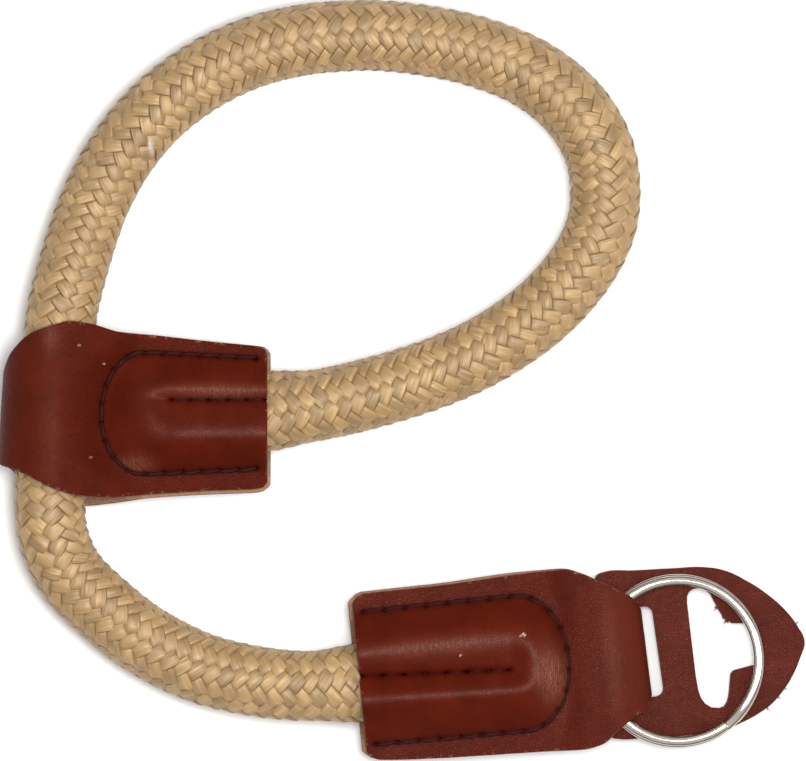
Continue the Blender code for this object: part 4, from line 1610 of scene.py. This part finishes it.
class STRAP_OT_stage(bpy.types.Operator):
    """Lays the pale floor and sets the soft light and the camera above it"""

    bl_idname = "strap.stage"
    bl_label = "Floor, light and camera"

    def execute(self, context):
        settings = context.scene.strap_stage
        work = bmesh.new()
        bmesh.ops.create_grid(work, x_segments=2, y_segments=2, size=FLOOR_SIZE)
        floor = add_object("floor", mesh_from(work, "floor"))
        floor.location.z = FLOOR_HEIGHT
        floor.data.materials.append(floor_material(settings))
        self.add_softbox("overhead_softbox", settings.key_power, (0.18, 0.16), (0.04, 0.03, 0.62))
        self.add_softbox("east_softbox", settings.fill_power, (0.30, 0.60), (0.46, 0.02, 0.50))
        self.set_world(context.scene, settings.sky)
        lens = bpy.data.cameras.new("camera")
        lens.sensor_width = 36.0
        lens.lens = lens.sensor_width * settings.camera_height / settings.view_width
        lens.clip_end = 10.0
        camera = add_object("camera", lens)
        camera.location = (*VIEW_MIDDLE, settings.camera_height)
        context.scene.camera = camera
        context.scene.view_settings.view_transform = "Standard"
        return {"FINISHED"}

    def add_softbox(self, name, power, size, location):
        box = bpy.data.lights.new(name, "AREA")
        box.shape = "RECTANGLE"
        box.size, box.size_y = size
        box.energy = power
        lamp = add_object(name, box)
        lamp.location = location
        aim = Vector(LIT_PLACE) - lamp.location
        lamp.rotation_euler = aim.to_track_quat("-Z", "Y").to_euler()
        lamp.visible_camera = False

    def set_world(self, scene, strength):
        """White overhead and dim towards the horizon."""
        world = bpy.data.worlds.new("studio")
        scene.world = world
        world.use_nodes = True
        tree = world.node_tree
        background = tree.nodes["Background"]
        way = put(tree, "ShaderNodeTexCoord").outputs["Generated"]
        up = put(tree, "ShaderNodeSeparateXYZ", {0: way}).outputs["Z"]
        colour = blend_colours(tree, remap(tree, up, 0.32, 0.78), HORIZON_COLOUR, OVERHEAD_COLOUR)
        tree.links.new(colour, background.inputs["Color"])
        background.inputs["Strength"].default_value = strength


class STRAP_OT_rope(bpy.types.Operator):
    """Braids the rope's yarns round its core, along its route through the strap"""

    bl_idname = "strap.rope"
    bl_label = "Braided rope"

    def execute(self, context):
        settings = context.scene.strap_rope
        route = rope_route()
        yarn = yarn_material(settings, "Silky yarn")
        dark = yarn_material(settings, "Rope core")
        winds = [
            add_piece(name, yarn_mesh(route, settings, hand, yarn), "strap")
            for name, hand in (("right_hand_yarns", 1), ("left_hand_yarns", -1))
        ]
        core = add_piece("rope_core", core_mesh(route, settings, dark), "strap")
        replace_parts(core, "rope")
        return {"FINISHED"}


class STRAP_OT_leather_ends(bpy.types.Operator):
    """Folds the slider and the end tab, and sews them"""

    bl_idname = "strap.leather_ends"
    bl_label = "Slider and end tab"

    def execute(self, context):
        settings = context.scene.strap_leather
        flesh, edge = flesh_leather(settings), cut_edge(settings, "Cut edge", EDGE_DYE)
        thread = waxed_thread(settings)
        for name, node, end in (
            ("slider", "slider_leather", SLIDER),
            ("end_tab", "end_tab_leather", TAB),
        ):
            gaps = GAPS[end.heading]
            grained = grain_leather(settings, node.replace("_", " ").capitalize(), end.gloss)
            folded = leather_mesh(name, end, gaps, settings, (grained, flesh, edge))
            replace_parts(add_piece(f"folded_{name}", folded, "strap"), node)
            sewn = thread_mesh(f"{name}_thread", end, gaps, settings, thread)
            add_piece(f"{name}_stitches", sewn, "strap")
        return {"FINISHED"}


class STRAP_OT_pad(bpy.types.Operator):
    """Cuts out the leather pad that lies under the split ring"""

    bl_idname = "strap.pad"
    bl_label = "Leather pad"

    def execute(self, context):
        settings = context.scene.strap_leather
        surfaces = (
            grain_leather(settings, "Pad leather", PAD_GLOSS),
            flesh_leather(settings),
            cut_edge(settings, "Dyed edge", PAD_EDGE_DYE),
        )
        pad = add_piece("leather_pad", pad_mesh(surfaces), "strap")
        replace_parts(pad, "protector_pad")
        return {"FINISHED"}


class STRAP_OT_ring(bpy.types.Operator):
    """Coils the split ring's two turns of wire"""

    bl_idname = "strap.ring"
    bl_label = "Split ring"

    def execute(self, context):
        settings = context.scene.strap_ring
        ring = add_piece("ring_coil", ring_mesh(settings, nickel(settings)), "ring")
        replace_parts(ring, "split_ring")
        return {"FINISHED"}


class STRAP_PT_pieces(bpy.types.Panel):
    """The strap's pieces and their settings"""

    bl_idname = "STRAP_PT_pieces"
    bl_label = "Camera hand strap"
    bl_space_type = "VIEW_3D"
    bl_region_type = "UI"
    bl_category = "Strap"

    def draw(self, context):
        for operator in OPERATORS:
            self.layout.operator(operator.bl_idname)
        for name, group in SETTINGS.items():
            box = self.layout.box()
            box.label(text=group.__doc__)
            for setting in group.__annotations__:
                box.prop(getattr(context.scene, name), setting)


SETTINGS = {
    "strap_stage": StageSettings,
    "strap_rope": RopeSettings,
    "strap_leather": LeatherSettings,
    "strap_ring": RingSettings,
}
OPERATORS = (STRAP_OT_stage, STRAP_OT_rope, STRAP_OT_leather_ends, STRAP_OT_pad, STRAP_OT_ring)


def register():
    for kind in (*SETTINGS.values(), *OPERATORS, STRAP_PT_pieces):
        bpy.utils.register_class(kind)
    for name, group in SETTINGS.items():
        setattr(bpy.types.Scene, name, bpy.props.PointerProperty(type=group))


def unregister():
    for name in SETTINGS:
        delattr(bpy.types.Scene, name)
    for kind in (STRAP_PT_pieces, *OPERATORS, *SETTINGS.values()):
        bpy.utils.unregister_class(kind)


def main():
    """Builds the strap through its operators."""
    register()
    bpy.ops.strap.stage()
    bpy.ops.strap.rope()
    bpy.ops.strap.leather_ends()
    bpy.ops.strap.pad()
    bpy.ops.strap.ring()


if __name__ == "__main__":
    main()
